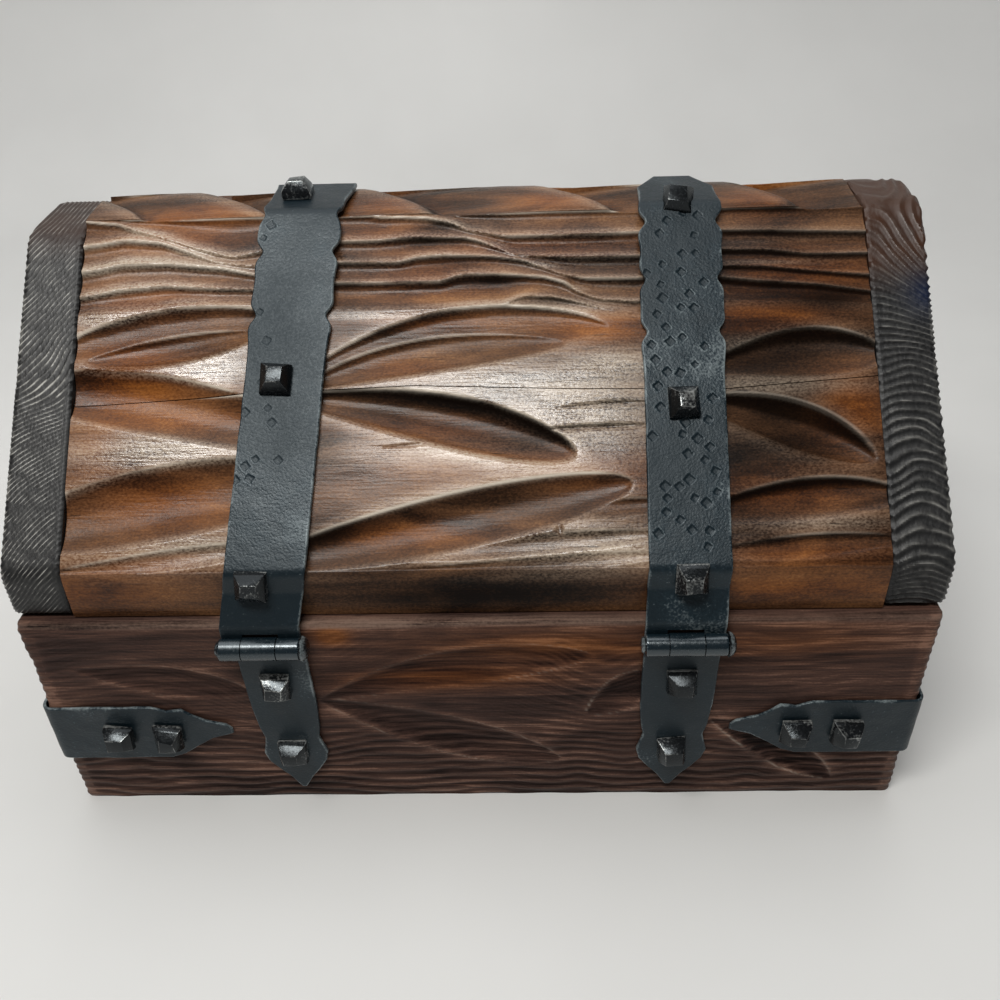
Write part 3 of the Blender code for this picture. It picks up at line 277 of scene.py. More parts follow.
@dataclass
class Sketch:
    """The mesh of one piece while it is made.

    Fields:
        points: its points.
        faces: its faces, each as the numbers of its points.
        marks: painted marks, each with one value for every point.
    """

    points: Array
    faces: list[tuple[int, ...]]
    marks: Marks = field(default_factory=dict)


def make_piece(name: str, sketch: Sketch, material: bpy.types.Material, body: Body,
               stands_for: Sequence[str], sharp_angle: float = 35.0) -> None:
    """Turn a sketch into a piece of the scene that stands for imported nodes.

    Args:
        name: the piece's name.
        sketch: its mesh.
        material: its finish.
        body: the moving body it rides on.
        stands_for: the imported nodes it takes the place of.
        sharp_angle: edges sharper than this many degrees stay crisp.
    """
    mesh = bpy.data.meshes.new(name)
    mesh.from_pydata(sketch.points.tolist(), [], sketch.faces)
    for key, values in sketch.marks.items():
        attribute = mesh.attributes.new(key, "FLOAT", "POINT")
        attribute.data.foreach_set("value", np.ascontiguousarray(values, dtype=np.float32))
    bm = bmesh.new()
    bm.from_mesh(mesh)
    bmesh.ops.recalc_face_normals(bm, faces=bm.faces[:])
    bm.to_mesh(mesh)
    bm.free()
    mesh.shade_smooth()
    mesh.set_sharp_from_angle(angle=math.radians(sharp_angle))
    mesh.materials.append(material)
    piece = bpy.data.objects.new(name, mesh)
    bpy.context.scene.collection.objects.link(piece)
    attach(piece, body.value)
    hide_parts(*stands_for)
    LOG.info("%s: %d points for %s", name, len(mesh.vertices), ", ".join(stands_for))


def refinish(name: str, material: bpy.types.Material) -> None:
    """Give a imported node, which stays in its own shape, a finish."""
    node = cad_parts[name]
    node.data.materials.clear()
    node.data.materials.append(material)
    LOG.info("%s: packed node with %s", name, material.name)


def grid_faces(rows: int, columns: int) -> list[tuple[int, ...]]:
    """Quads of a grid whose points are stored row by row."""
    index = np.arange(rows * columns).reshape(rows, columns)
    quads = np.stack([index[:-1, :-1], index[:-1, 1:], index[1:, 1:], index[1:, :-1]], axis=-1)
    return [tuple(quad) for quad in quads.reshape(-1, 4).tolist()]


def tube_faces(loops: int, around: int) -> list[tuple[int, ...]]:
    """Faces of a closed tube whose points are stored loop by loop.

    Args:
        loops: how many loops it has.
        around: points in each loop.

    Returns:
        Its quads and the two faces that close its ends.
    """
    index = np.arange(loops * around).reshape(loops, around)
    ahead = np.roll(index, -1, axis=1)
    quads = np.stack([index[:-1], ahead[:-1], ahead[1:], index[1:]], axis=-1)
    ends = [tuple(index[0].tolist()), tuple(index[-1][::-1].tolist())]
    return [tuple(quad) for quad in quads.reshape(-1, 4).tolist()] + ends


def rim_of_grid(rows: int, columns: int) -> Array:
    """Indices of a grid's rim, once round."""
    index = np.arange(rows * columns).reshape(rows, columns)
    return np.concatenate([index[0, :-1], index[:-1, -1], index[-1, :0:-1], index[:0:-1, 0]])


def panel(outer: Array, back: Callable[[Array], Array], steps: int, marks: Marks,
          fray: Optional[Callable[[Array], Array]] = None) -> Sketch:
    """A closed board: a shaped outer face, sides that lead back from its rim, and a flat back.

    Args:
        outer: outer face, a grid of points.
        back: gives the point on the back behind each rim point.
        steps: how many strips the sides have.
        marks: painted marks on the outer face's points, as grids.
        fray: moves the points of the sides between the outer face and the back.

    Returns:
        The board's sketch.
    """
    rows, columns = outer.shape[:2]
    rim = rim_of_grid(rows, columns)
    points = outer.reshape(-1, 3)
    faces = grid_faces(rows, columns)
    front_rim = points[rim]
    back_rim = back(front_rim)
    layers = [points]
    before = rim
    count = len(points)
    for step in range(1, steps + 1):
        ring = front_rim + (back_rim - front_rim) * step / steps
        if fray is not None and step < steps:
            ring = fray(ring)
        layers.append(ring)
        here = np.arange(count, count + len(rim))
        after = np.roll(here, -1)
        ahead = np.roll(before, -1)
        faces += [tuple(quad) for quad in np.stack([before, here, after, ahead], axis=-1).tolist()]
        before = here
        count += len(rim)
    faces.append(tuple(before.tolist()))
    fades = [np.clip(1.0 - np.linalg.norm(ring - front_rim, axis=1) / MARK_REACH, 0.0, 1.0)
             for ring in layers[1:]]
    all_marks = {}
    for key, values in marks.items():
        flat = values.reshape(-1)
        all_marks[key] = np.concatenate([flat] + [flat[rim] * fade for fade in fades])
    return Sketch(np.concatenate(layers), faces, all_marks)


WALL_POWER = 2.0  # roundness of a gouge's short, steep side
FLOOR_POWER = 2.5  # roundness of its long side


@dataclass(frozen=True)
class Gouge:
    """One hollow cut with a round gouge, in millimetres on a face as its viewer sees it.

    Fields:
        line: points (r, s) of its middle line, from its pointed end to its blunt end.
        half_width: half its width where it is widest.
        depth: its depth there.
        lean: where its deepest line lies, from -1 at the right of its run to +1 at the left.
        skew: how much later than half way it is fullest.
        taper: how pointed its ends are; a small value makes them blunt.
    """

    line: tuple[tuple[float, float], ...]
    half_width: float
    depth: float
    lean: float = 0.0
    skew: float = 1.25
    taper: float = 0.65

    def middle_line(self, steps: int = 20) -> Array:
        """The middle line as a smooth curve through its points.

        Args:
            steps: how many straight runs stand for the curve.

        Returns:
            Its points (r, s).
        """
        knots = np.array(self.line, float)
        if len(knots) == 2:
            knots = np.array([knots[0], (knots[0] + knots[1]) / 2, knots[1]])
        spread = np.linspace(0.0, 1.0, len(knots))
        fine = np.linspace(0.0, 1.0, steps + 1)
        fit = np.polyfit(spread, knots, len(knots) - 1)
        return sum(coefficient * fine[:, None] ** (len(knots) - 1 - k)
                   for k, coefficient in enumerate(fit))

    def cut(self, r: Array, s: Array) -> Array:
        """Depth of this hollow.

        Args:
            r: places to the right, in millimetres.
            s: places up the face.

        Returns:
            Its depth at each place, in millimetres.
        """
        result = np.zeros(r.shape)
        line = self.middle_line()
        low = line.min(0) - self.half_width
        high = line.max(0) + self.half_width
        near = (r > low[0]) & (r < high[0]) & (s > low[1]) & (s < high[1])
        if not near.any():
            return result
        x, y = r[near], s[near]
        best = np.full(x.shape, np.inf)
        along = np.zeros(x.shape)
        across = np.zeros(x.shape)
        runs = np.hypot(*(line[1:] - line[:-1]).T)
        starts = np.concatenate([[0.0], np.cumsum(runs)])
        for k, run in enumerate(runs):
            way = (line[k + 1] - line[k]) / run
            ahead = np.clip((x - line[k, 0]) * way[0] + (y - line[k, 1]) * way[1], 0.0, run)
            dx = x - line[k, 0] - ahead * way[0]
            dy = y - line[k, 1] - ahead * way[1]
            gap = dx * dx + dy * dy
            closer = gap < best
            best = np.where(closer, gap, best)
            along = np.where(closer, (starts[k] + ahead) / starts[-1], along)
            across = np.where(closer, np.sign(way[0] * dy - way[1] * dx) * np.sqrt(gap), across)
        fullness = np.sin(np.pi * np.clip(along, 0.0, 1.0) ** self.skew) ** self.taper
        place = across / (self.half_width * fullness + 1e-9)
        steep = np.where(place > self.lean, (place - self.lean) / (1.0 - self.lean),
                         (self.lean - place) / (1.0 + self.lean))
        walled = place > self.lean if self.lean > 0.0 else place < self.lean
        hollow = self.depth * fullness * (1.0 - steep ** np.where(walled, WALL_POWER, FLOOR_POWER))
        result[near] = np.where(np.abs(place) < 1.0, hollow, 0.0)
        return result


def deepest(gouges: Sequence[Gouge], r: Array, s: Array) -> Array:
    """Depth where several hollows meet in sharp crests: the deepest one counts.

    Args:
        gouges: the hollows.
        r: places to the right, in millimetres.
        s: places up the face.

    Returns:
        The depth at each place, in millimetres.
    """
    depth = np.zeros(r.shape)
    for gouge in gouges:
        depth = np.maximum(depth, gouge.cut(r, s))
    return depth


@dataclass(frozen=True)
class Patch:
    """A soft round area of a mark, in millimetres on a face.

    Fields:
        r, s: its middle.
        half_width, half_height: how far it reaches to the sides and up.
        amount: how strong it is.
    """

    r: float
    s: float
    half_width: float
    half_height: float
    amount: float


def spots(*rows: tuple[float, float, float, float, float]) -> tuple[Patch, ...]:
    """Patches from rows of r, s, half_width, half_height and amount."""
    return tuple(Patch(*row) for row in rows)


def patches(areas: Sequence[Patch], r: Array, s: Array) -> Array:
    """Sum of several soft areas.

    Args:
        areas: the areas.
        r: places to the right, in millimetres.
        s: places up the face.

    Returns:
        The sum at each place.
    """
    total = np.zeros(r.shape)
    for area in areas:
        away = ((r - area.r) / area.half_width) ** 2 + ((s - area.s) / area.half_height) ** 2
        total += area.amount * np.exp(-away)
    return total


# Hollows as line, half width, depth, lean, skew and taper; a crest stays where two of them meet
SLOPE_CARVING = (
    # Long leaves and hollows of the middle bay
    Gouge(((-57, 61), (-14, 75.5), (44, 78.5)), 9.0, 2.3, 0.55),
    Gouge(((-52, 60.5), (-14, 71.0), (31, 73.5)), 7.4, 3.2, 0.30, 0.95, 0.6),
    Gouge(((-62, 56.5), (-12, 48.8), (33, 36)), 9.0, 4.6, 0.32, 1.5, 0.5),
    Gouge(((-66, 3), (-8, 14.5), (50, 27)), 9.6, 3.6, 0.12, 1.2, 0.45),
    Gouge(((-40, 3.5), (10, 7), (62, 11)), 3.6, 1.0, 0.3),
    Gouge(((-20, 0.5), (20, 2.0), (62, 4.5)), 2.6, 0.8, 0.3),
    Gouge(((20, 17), (62, 20.5)), 3.0, 0.8, 0.4),
    # Splits and knife marks in it
    Gouge(((14, 44.0), (36, 45.2), (58, 45.6)), 1.0, 0.9),
    Gouge(((26, 51.5), (42, 52.8), (58, 53.0)), 0.8, 0.7),
    Gouge(((-34, 39.5), (-20, 40.2), (-6, 42.0)), 0.6, 0.4),
    Gouge(((26.5, 17), (27.5, 10)), 1.3, 0.9),
    # Left bay
    Gouge(((-136, 72), (-98, 79.5), (-60, 82)), 8.0, 2.4, 0.4, 1.0, 0.5),
    Gouge(((-126, 69.5), (-101, 73.4), (-68, 79.0)), 6.2, 3.2, 0.30, 1.0, 0.55),
    Gouge(((-142, 60), (-100, 54.5), (-56, 43)), 10.2, 3.2, 0.10, 1.0, 0.3),
    Gouge(((-142, 13), (-98, 22.5), (-54, 29.5)), 12.2, 3.3, 0.10, 1.0, 0.3),
    Gouge(((-132, 1), (-98, 4), (-60, 9)), 3.4, 1.1, 0.3),
    # Right bay
    Gouge(((70, 62), (102, 68), (133, 67)), 8.6, 3.0, 0.4, 1.4),
    Gouge(((66, 53.5), (98, 46), (126, 33)), 8.0, 4.2, 0.25, 1.4, 0.6),
    Gouge(((64, 14), (98, 20), (136, 22)), 7.0, 2.2, 0.45),
    Gouge(((66, 4), (100, 6), (134, 8)), 3.8, 1.2, 0.3),
)

# Crests between the flutes under the ridge, from the top one down; where two touch they are one
FLUTE_CRESTS = (
    ((-132, 119.6), (132, 119.6)),
    ((-132, 119.6), (-34, 119.5), (-30, 118.6), (-22, 118.4), (-14, 117.9), (-6, 115.6), (-1, 112.9),
     (12, 110.7), (45, 111.1), (66, 111.6), (92, 111.2), (132, 109.8)),
    ((-132, 119.5), (-125, 118.6), (-118, 117.8), (-112, 115.3), (-99, 111.3), (-91, 108.4), (-79, 105.0),
     (-66, 107.6), (-45, 110.1), (-31, 110.1), (-21, 111.1), (-2, 110.5), (3, 109.1), (10, 106.0),
     (14, 104.0), (31, 103.0), (55, 103.0), (80, 104.5), (96, 104.2), (109, 102.5), (132, 102.5)),
    ((-132, 109.6), (-124, 110.5), (-115, 112.0), (-103, 110.7), (-95, 107.8), (-85, 103.6), (-75, 102.0),
     (-45, 102.7), (-24, 102.3), (-18, 103.9), (-10, 104.6), (7, 103.8), (17, 102.2), (24, 99.4), (29, 97.2),
     (37, 95.5), (54, 95.2), (80, 98.8), (95, 98.5), (109, 96.7), (132, 94.6)),
    ((-132, 100.5), (-123, 101.7), (-116, 103.3), (-101, 103.4), (-82, 101.4), (-70, 98.6), (-55, 96.0),
     (-36, 95.4), (-10, 95.4), (-5, 97.3), (0, 97.9), (14, 97.2), (24, 96.2), (31, 94.0), (34, 91.2),
     (41, 88.2), (54, 87.1), (80, 95.1), (95, 93.3), (113, 91.8), (132, 88.6)),
    ((-132, 91.5), (-123, 93.0), (-115, 94.5), (-101, 95.6), (-82, 94.2), (-70, 93.6), (-60, 90.0),
     (-45, 86.6), (-24, 86.3), (-4, 86.2), (10, 86.3), (14, 88.6), (18, 89.8), (27, 89.2), (36, 86.9),
     (41, 85.3), (54, 82.9), (80, 86.9), (94, 85.9), (108, 86.3), (132, 84.3)),
    ((-132, 85.5), (-124, 86.4), (-106, 87.1), (-97, 88.5), (-70, 88.6), (-45, 86.3), (-4, 86.1), (12, 85.9),
     (25, 85.4), (36, 84.4), (43, 83.4), (54, 82.6), (66, 84.0), (80, 86.3), (94, 85.6), (108, 86.0),
     (132, 84.0)),
)

# Crests of the waves over the ridge: where each starts at the near arris, where it ends at the far
# one, and how deep the hollow to its right is
RIDGE_WAVES = ((-152, -172, 1.0), (-112, -138, 2.5), (-69, -95, 4.2), (-15, -37, 2.6), (44, 23, 3.2),
               (106, 89, 4.2), (158, 142, 1.0))

BASE_CARVING = (
    Gouge(((-54, 50), (-12, 64), (38, 70)), 8.5, 1.7, 0.15),
    Gouge(((-54, 51), (-14, 34), (28, 19)), 9.5, 1.9, -0.1),
    Gouge(((36, 42), (46, 50), (60, 62)), 8.0, 1.6, 0.0),
    Gouge(((78, 40), (100, 26), (124, 8)), 7.0, 1.6, -0.2),
    Gouge(((-134, 66), (-108, 61), (-76, 55)), 7.0, 1.2, 0.2),
)

SLOPE_WARMTH = spots(
    (48, 33, 22, 9, 0.8), (-110, 88, 22, 8, 0.5), (-96, 62, 22, 12, 0.6), (-112, 98, 26, 20, 0.35),
    (-8, 36, 42, 9, 0.55), (-14, 82, 34, 3.5, 0.6), (42, 78, 20, 6, 1.0), (-22, 66, 16, 5, 0.6),
    (-22, 12, 26, 5, 0.8), (-5, 47, 40, 4, 0.5), (-15, 97, 30, 9, 0.8), (24, 107, 34, 5, 0.9),
    (-30, 112, 24, 5, 0.6), (-118, 60, 18, 8, 1.0), (-112, 73, 16, 6, 0.7),
    (-120, 40, 10, 8, 0.9), (-100, 24, 30, 10, 1.0),
    (-100, 3, 30, 5, 0.8), (-98, 112, 26, 5, 0.8), (-90, 50, 26, 4, 0.7), (-95, 92, 26, 6, 0.5),
    (94, 80, 20, 6, 1.3), (120, 50, 12, 12, 1.1), (106, 96, 30, 9, 0.9), (98, 24, 26, 7, 0.9),
    (100, 4, 40, 5, 0.8), (-26, 128, 16, 10, 1.0), (28, 128, 18, 10, 1.0), (96, 126, 14, 9, 1.0),
    (-92, 124, 22, 8, 1.2), (-124, -8, 30, 8, 0.8), (100, -9, 40, 6, 0.9),
)

# Painted shade, added to the hollow mark: over the lid's foot and the right bay, in the heads of the flutes and
# along some gouges
SLOPE_SHADE = spots(
    (0, -9, 60, 9, 1.25), (12, 72, 20, 4, 0.45), (-46, 12, 14, 6, 0.5), (-48, 40, 9, 8, 0.7),
    (22, 42, 16, 4, 0.4), (118, 87, 20, 4, 0.8), (100, 46, 30, 8, 0.25), (-8, 134, 12, 12, 0.35),
    (52, 134, 10, 12, 0.35), (-62, 20, 14, 30, 0.3), (122, 134, 12, 12, 0.3),
    (-12, 115, 10, 1.9, 0.9), (-13, 108.8, 14, 1.9, 0.9), (-3, 101.9, 14, 1.9, 0.9),
    (6, 95.4, 13, 1.9, 0.9), (25, 87.4, 13, 1.9, 0.9), (98, 62, 40, 60, 1.05),
    (-30, 12, 30, 6, 0.4), (16, 20, 26, 6, 0.35), (4, 46, 26, 6, 0.25), (20, 41, 14, 5, 0.3),
    (78, 34, 12, 10, 0.3), (76, 100, 8, 20, 0.35), (-42, 92, 8, 12, 0.4),
)

SHADED_BAY = 58.0  # where the right bay starts, which the sheen lamp doesn't reach: painted glint and paler crests fade there

BASE_WARMTH = spots((30, 74, 50, 8, 0.9), (-12, 60, 36, 5, 0.9), (105, 76, 30, 8, 0.5), (-46, 80, 6, 4, 1.4))

# Where the varnish was rubbed through to silvery, ribbed wood, and where its sheen is painted: on flats of the
# middle and left bays and in thin stripes under the flutes' crests
SLOPE_RUB_AND_PAINTED_SHEEN = spots(
    (-20, 104, 120, 12, 0.06),
    (34, 52, 26, 12, 0.9), (2, 61, 26, 4, 0.7), (-2, 38, 46, 5, 0.5), (46, 66, 14, 5, 0.8),
    (-86, 67, 14, 6, 1.2), (-102, 39, 26, 5, 1.1), (-108, 99, 26, 14, 0.9), (-84, 8, 20, 4, 0.8),
    (40, 6, 30, 7, 0.9), (30, 86, 30, 3, 0.6), (10, 117, 50, 3, 0.7), (-10, 106, 50, 8, 0.25),
    (94, 58, 30, 3, 0.5), (104, 72, 24, 2.5, 0.4), (110, 14, 20, 3, 0.4),
    (34, 108.3, 24, 1.2, 1.0), (36, 100.6, 22, 1.2, 1.0), (44, 92.6, 14, 1.2, 1.0),
    (-38, 107.2, 12, 1.2, 0.7), (-38, 99.8, 12, 1.2, 0.7), (-36, 92.2, 14, 1.2, 0.8),
    (-34, 83.6, 14, 1.2, 0.7), (104, 108.0, 24, 1.1, 0.6), (108, 100.3, 20, 1.1, 0.6),
    (-108, 115.0, 18, 1.6, 0.8), (-110, 107.0, 20, 1.8, 1.0), (-108, 100.2, 26, 1.6, 1.2),
    (-104, 91.6, 26, 1.6, 1.2), (-118, 84.0, 10, 1.8, 1.2),
    (-108, 106, 26, 12, 0.35), (-116, 24, 12, 5, 0.5), (-100, 3, 30, 4, 0.5), (30, 44, 30, 14, 0.35),
)


CREST_REACH = 150.0  # crests are worked out this far to either side
CREST_STEP = 0.5  # at places this far apart
CREST_EASE = 5  # and their corners are rounded off over this many places to either side


def crest_line(knots: Sequence[tuple[float, float]], r: Array) -> Array:
    """Height of a crest along the lid, its knots rounded off; all in millimetres.

    Args:
        knots: points (r, s) of the crest.
        r: places along the lid.

    Returns:
        Its height at each place.
    """
    fine = np.arange(-CREST_REACH, CREST_REACH + CREST_STEP, CREST_STEP)
    corners = np.array(knots, float)
    heights = np.interp(fine, corners[:, 0], corners[:, 1])
    weights = np.hanning(2 * CREST_EASE + 1)
    rounded = np.convolve(np.pad(heights, CREST_EASE, mode="edge"), weights / weights.sum(), "valid")
    return np.interp(r, fine, rounded)


@dataclass(frozen=True)
class LidSurface:
    """The lid's long outer surface, unrolled from the back's foot over the ridge to the front's.

    The running length is 0 at the back's lower arris, negative on its foot, and goes on over the
    ridge to the front.

    Fields:
        bend: how far each arris is rounded to either side.
        wear: how far an arris is worn back.
        swell: how much the flats swell.
        ripple: height of the knife's ripples on them.
        flute_depth: depth of a flute in millimetres.
        flute_full: width in millimetres over which a flute nears that depth.
        flute_wall: how steep a flute's crest is.
        wave_wall: how steep a wave of the ridge ends.
        planed: how far all of it lies under the uncut surface.
        blend: how far to either side of the ridge's near arris its waves fade in.
    """

    sizes: ChestSizes = SIZES
    bend: float = 0.0016
    wear: float = 0.0005
    swell: float = 0.00022
    ripple: float = 0.00006
    flute_depth: float = 2.1
    flute_full: float = 8.0
    flute_wall: float = 0.32
    wave_wall: float = 0.13
    planed: float = 0.00025
    blend: float = 0.0030

    @property
    def whole(self) -> float:
        """Length from one lower arris over the ridge to the other."""
        return 2.0 * self.sizes.slope_length + self.sizes.ridge_width

    def place(self, run: Array) -> tuple[Array, Array, Array]:
        """Point and outward way at a running length on the back half.

        Args:
            run: running lengths, up to the ridge's far edge.

        Returns:
            y, z and the outward way's angle above the horizontal.
        """
        sizes = self.sizes
        length = sizes.slope_length
        turn = math.pi / 2 - sizes.slope_angle
        over = run - length
        on_slope = np.clip(run, 0.0, length)
        y = sizes.lid_half_depth - on_slope * math.cos(sizes.slope_angle) - np.maximum(over, 0.0)
        z = sizes.arris_height + np.minimum(run, 0.0) + on_slope * math.sin(sizes.slope_angle)
        angle = turn * smooth_step((run + self.bend) / (2.0 * self.bend))
        angle = angle + sizes.slope_angle * smooth_step((over + self.bend) / (2.0 * self.bend))
        return y, z, angle

    def depth(self, x: Array, run: Array, face: Face) -> Array:
        """Depth of the carving under the uncut surface, in metres.

        Args:
            x: places along the lid.
            run: running length counted up the face that is looked at.
            face: the side whose own carving counts.

        Returns:
            The depth at each place.
        """
        length = self.sizes.slope_length
        r = -face.value * x / MM
        from_back = run if face is Face.BACK else self.whole - run
        ridge = self.waves(-x / MM, from_back / MM) * MM
        slope = self.flutes(r, run / MM)
        slope = np.maximum(slope, deepest(SLOPE_CARVING, r, run / MM)) * MM
        carved = np.where(run < length, slope, 0.0)
        carved = np.maximum(carved, ridge * smooth_step((run - length + self.blend) / (2.0 * self.blend)))
        worn = self.wear * np.exp(-(run / ARRIS_REACH) ** 2)
        worn = worn + self.wear * np.exp(-((run - length) / ARRIS_REACH) ** 2)
        places = np.stack([x, run, np.full(x.shape, float(face.value))], axis=-1)
        uneven = self.swell * rough_noise(places, (0.045, 0.016, 1.0), 5)
        uneven = uneven + self.ripple * rough_noise(places, (0.009, 0.005, 1.0), 11)
        return np.where(run > 0.0, carved, 0.0) + worn + uneven + self.planed

    def flutes(self, r: Array, s: Array) -> Array:
        """Depth of the flutes under the ridge, each steep under its upper crest.

        Args:
            r: places to the right, in millimetres.
            s: places up the face.

        Returns:
            The depth at each place, in millimetres.
        """
        depth = np.zeros(r.shape)
        wall = self.flute_wall
        crests = [crest_line(knots, r) for knots in FLUTE_CRESTS]
        for upper, lower in zip(crests, crests[1:]):
            width = np.maximum(upper - lower, 0.01)
            share = (upper - s) / width
            way = np.where(share < wall, (wall - share) / wall, (share - wall) / (1.0 - wall))
            inside = (share > 0.0) & (share < 1.0)
            full = self.flute_depth * np.tanh(width / self.flute_full)
            depth = np.where(inside, full * (1.0 - way ** 2), depth)
        return depth

    def waves(self, r: Array, s: Array) -> Array:
        """Depth of the slanting waves over the ridge, each steep behind its crest.

        Args:
            r: places to the right as seen from the back, in millimetres.
            s: running length from the back's arris.

        Returns:
            The depth at each place, in millimetres.
        """
        across = (s - self.sizes.slope_length / MM) / (self.sizes.ridge_width / MM)
        sway = 2.5 * np.sin(across * 4.0)
        depth = np.zeros(r.shape)
        for (near, far, drop), (next_near, next_far, _) in zip(RIDGE_WAVES, RIDGE_WAVES[1:]):
            start = near + (far - near) * across + sway
            stop = next_near + (next_far - next_near) * across + sway
            share = (r - start) / (stop - start)
            fall = smooth_step(share / self.wave_wall)
            rise = np.clip(1.0 - (share - self.wave_wall) / 0.75, 0.0, 1.0) ** 1.7
            inside = (share > 0.0) & (share <= 1.0)
            depth = np.where(inside, drop * np.where(share < self.wave_wall, fall, rise), depth)
        return depth


# Where the joint between a slope's two boards wanders to: points (r, s)
JOINT_PATH = ((-130, 55.2), (-100, 57.0), (-70, 58.2), (-18, 59.8), (30, 58.0), (80, 57.0), (130, 60.6))


def joint_line(r: Array) -> Array:
    """Height in metres up the slope of the joint at places to the right in millimetres."""
    return np.interp(r, *zip(*JOINT_PATH)) * MM


Value = bpy.types.NodeSocket | float


@dataclass(frozen=True)
class Nodes:
    """Adds shader nodes to a material, links them and feeds its shader."""

    tree: bpy.types.NodeTree
    shader: bpy.types.Node

    def connect(self, node: bpy.types.Node, key: str | int, value: object) -> None:
        """Link a socket to a node's input, or set the input's value.

        Args:
            node: the node.
            key: the input's name or number.
            value: a socket or a value.
        """
        if isinstance(value, bpy.types.NodeSocket):
            self.tree.links.new(value, node.inputs[key])
        else:
            node.inputs[key].default_value = value

    def feed(self, name: str, value: object) -> None:
        """Link a socket to an input of the shader, or set the input's value."""
        self.connect(self.shader, name, value)

    def add(self, kind: str, links: dict[str | int, object], **settings: object) -> bpy.types.Node:
        """Add a node.

        Args:
            kind: the node's type without its ShaderNode prefix.
            links: input names or numbers with a socket to link or a value to set.
            settings: properties of the node.

        Returns:
            The node.
        """
        node = self.tree.nodes.new("ShaderNode" + kind)
        for key, value in settings.items():
            setattr(node, key, value)
        for key, value in links.items():
            self.connect(node, key, value)
        return node

    def mark(self, name: str) -> bpy.types.NodeSocket:
        """A painted mark of the mesh."""
        return self.add("Attribute", {}, attribute_name=name).outputs["Fac"]

    def maths(self, kind: str, *values: Value, clamp: bool = False) -> bpy.types.NodeSocket:
        """One step of arithmetic on two or three values."""
        return self.add("Math", dict(enumerate(values)), operation=kind, use_clamp=clamp).outputs[0]

    def times(self, first: Value, second: Value, clamp: bool = False) -> bpy.types.NodeSocket:
        """A product."""
        return self.maths("MULTIPLY", first, second, clamp=clamp)

    def plus(self, total: Value, value: Value, weight: Value, clamp: bool = False) -> bpy.types.NodeSocket:
        """A total with a weighted value added."""
        return self.maths("MULTIPLY_ADD", value, weight, total, clamp=clamp)

    def sway(self, total: Value, noise: Value, weight: float, clamp: bool = False) -> bpy.types.NodeSocket:
        """A total moved up and down by a weighted noise."""
        return self.plus(total, self.maths("SUBTRACT", noise, 0.5), weight, clamp)

    def noise(self, scale: Sequence[float], detail: float, warp: float = 0.0) -> bpy.types.NodeSocket:
        """Noise in the piece's own frame.

        Args:
            scale: its scale along each axis.
            detail: how many finer layers it has.
            warp: how far it is distorted.

        Returns:
            Its value.
        """
        places = self.add("TexCoord", {}).outputs["Object"]
        mapping = self.add("Mapping", {"Vector": places, "Scale": scale})
        links = {"Vector": mapping.outputs[0], "Scale": 1.0, "Detail": detail, "Distortion": warp}
        return self.add("TexNoise", links).outputs["Fac"]

    def ramp(self, factor: bpy.types.NodeSocket,
             stops: Sequence[tuple[float, tuple[float, float, float]]]) -> bpy.types.NodeSocket:
        """A colour ramp.

        Args:
            factor: what picks the colour.
            stops: places from 0 to 1 with their colours.

        Returns:
            The colour.
        """
        node = self.add("ValToRGB", {0: factor})
        elements = node.color_ramp.elements
        while len(elements) < len(stops):
            elements.new(0.5)
        for element, (place, colour) in zip(elements, stops):
            element.position = place
            element.color = (*colour, 1.0)
        return node.outputs["Color"]

    def blend(self, share: bpy.types.NodeSocket, first: object, second: object) -> bpy.types.NodeSocket:
        """A colour between two, each a socket or a red, green and blue, by a share from 0 to 1."""
        ends = [colour if isinstance(colour, bpy.types.NodeSocket) else (*colour, 1.0)
                for colour in (first, second)]
        return self.add("Mix", {"Factor": share, 6: ends[0], 7: ends[1]}, data_type="RGBA").outputs[2]

    def bump(self, height: Value, reach: float, strength: Value) -> None:
        """Roughen the shader's surface by a height that reaches a distance in metres."""
        node = self.add("Bump", {"Strength": strength, "Distance": reach, "Height": height})
        self.feed("Normal", node.outputs[0])


def new_material(name: str) -> tuple[bpy.types.Material, Nodes]:
    """A new material.

    Args:
        name: its name.

    Returns:
        The material and its node helper.
    """
    material = bpy.data.materials.new(name)
    material.use_nodes = True
    return material, Nodes(material.node_tree, material.node_tree.nodes["Principled BSDF"])


class Grain(Enum):
    """Which way the fibres of a board run."""

    ALONG = (1.0, 30.0, 30.0)
    ACROSS = (30.0, 1.0, 30.0)


TONE_STOPS = (0.05, 0.28, 0.50, 0.72, 0.95)  # where a stain's five colours stand, from dark to bright


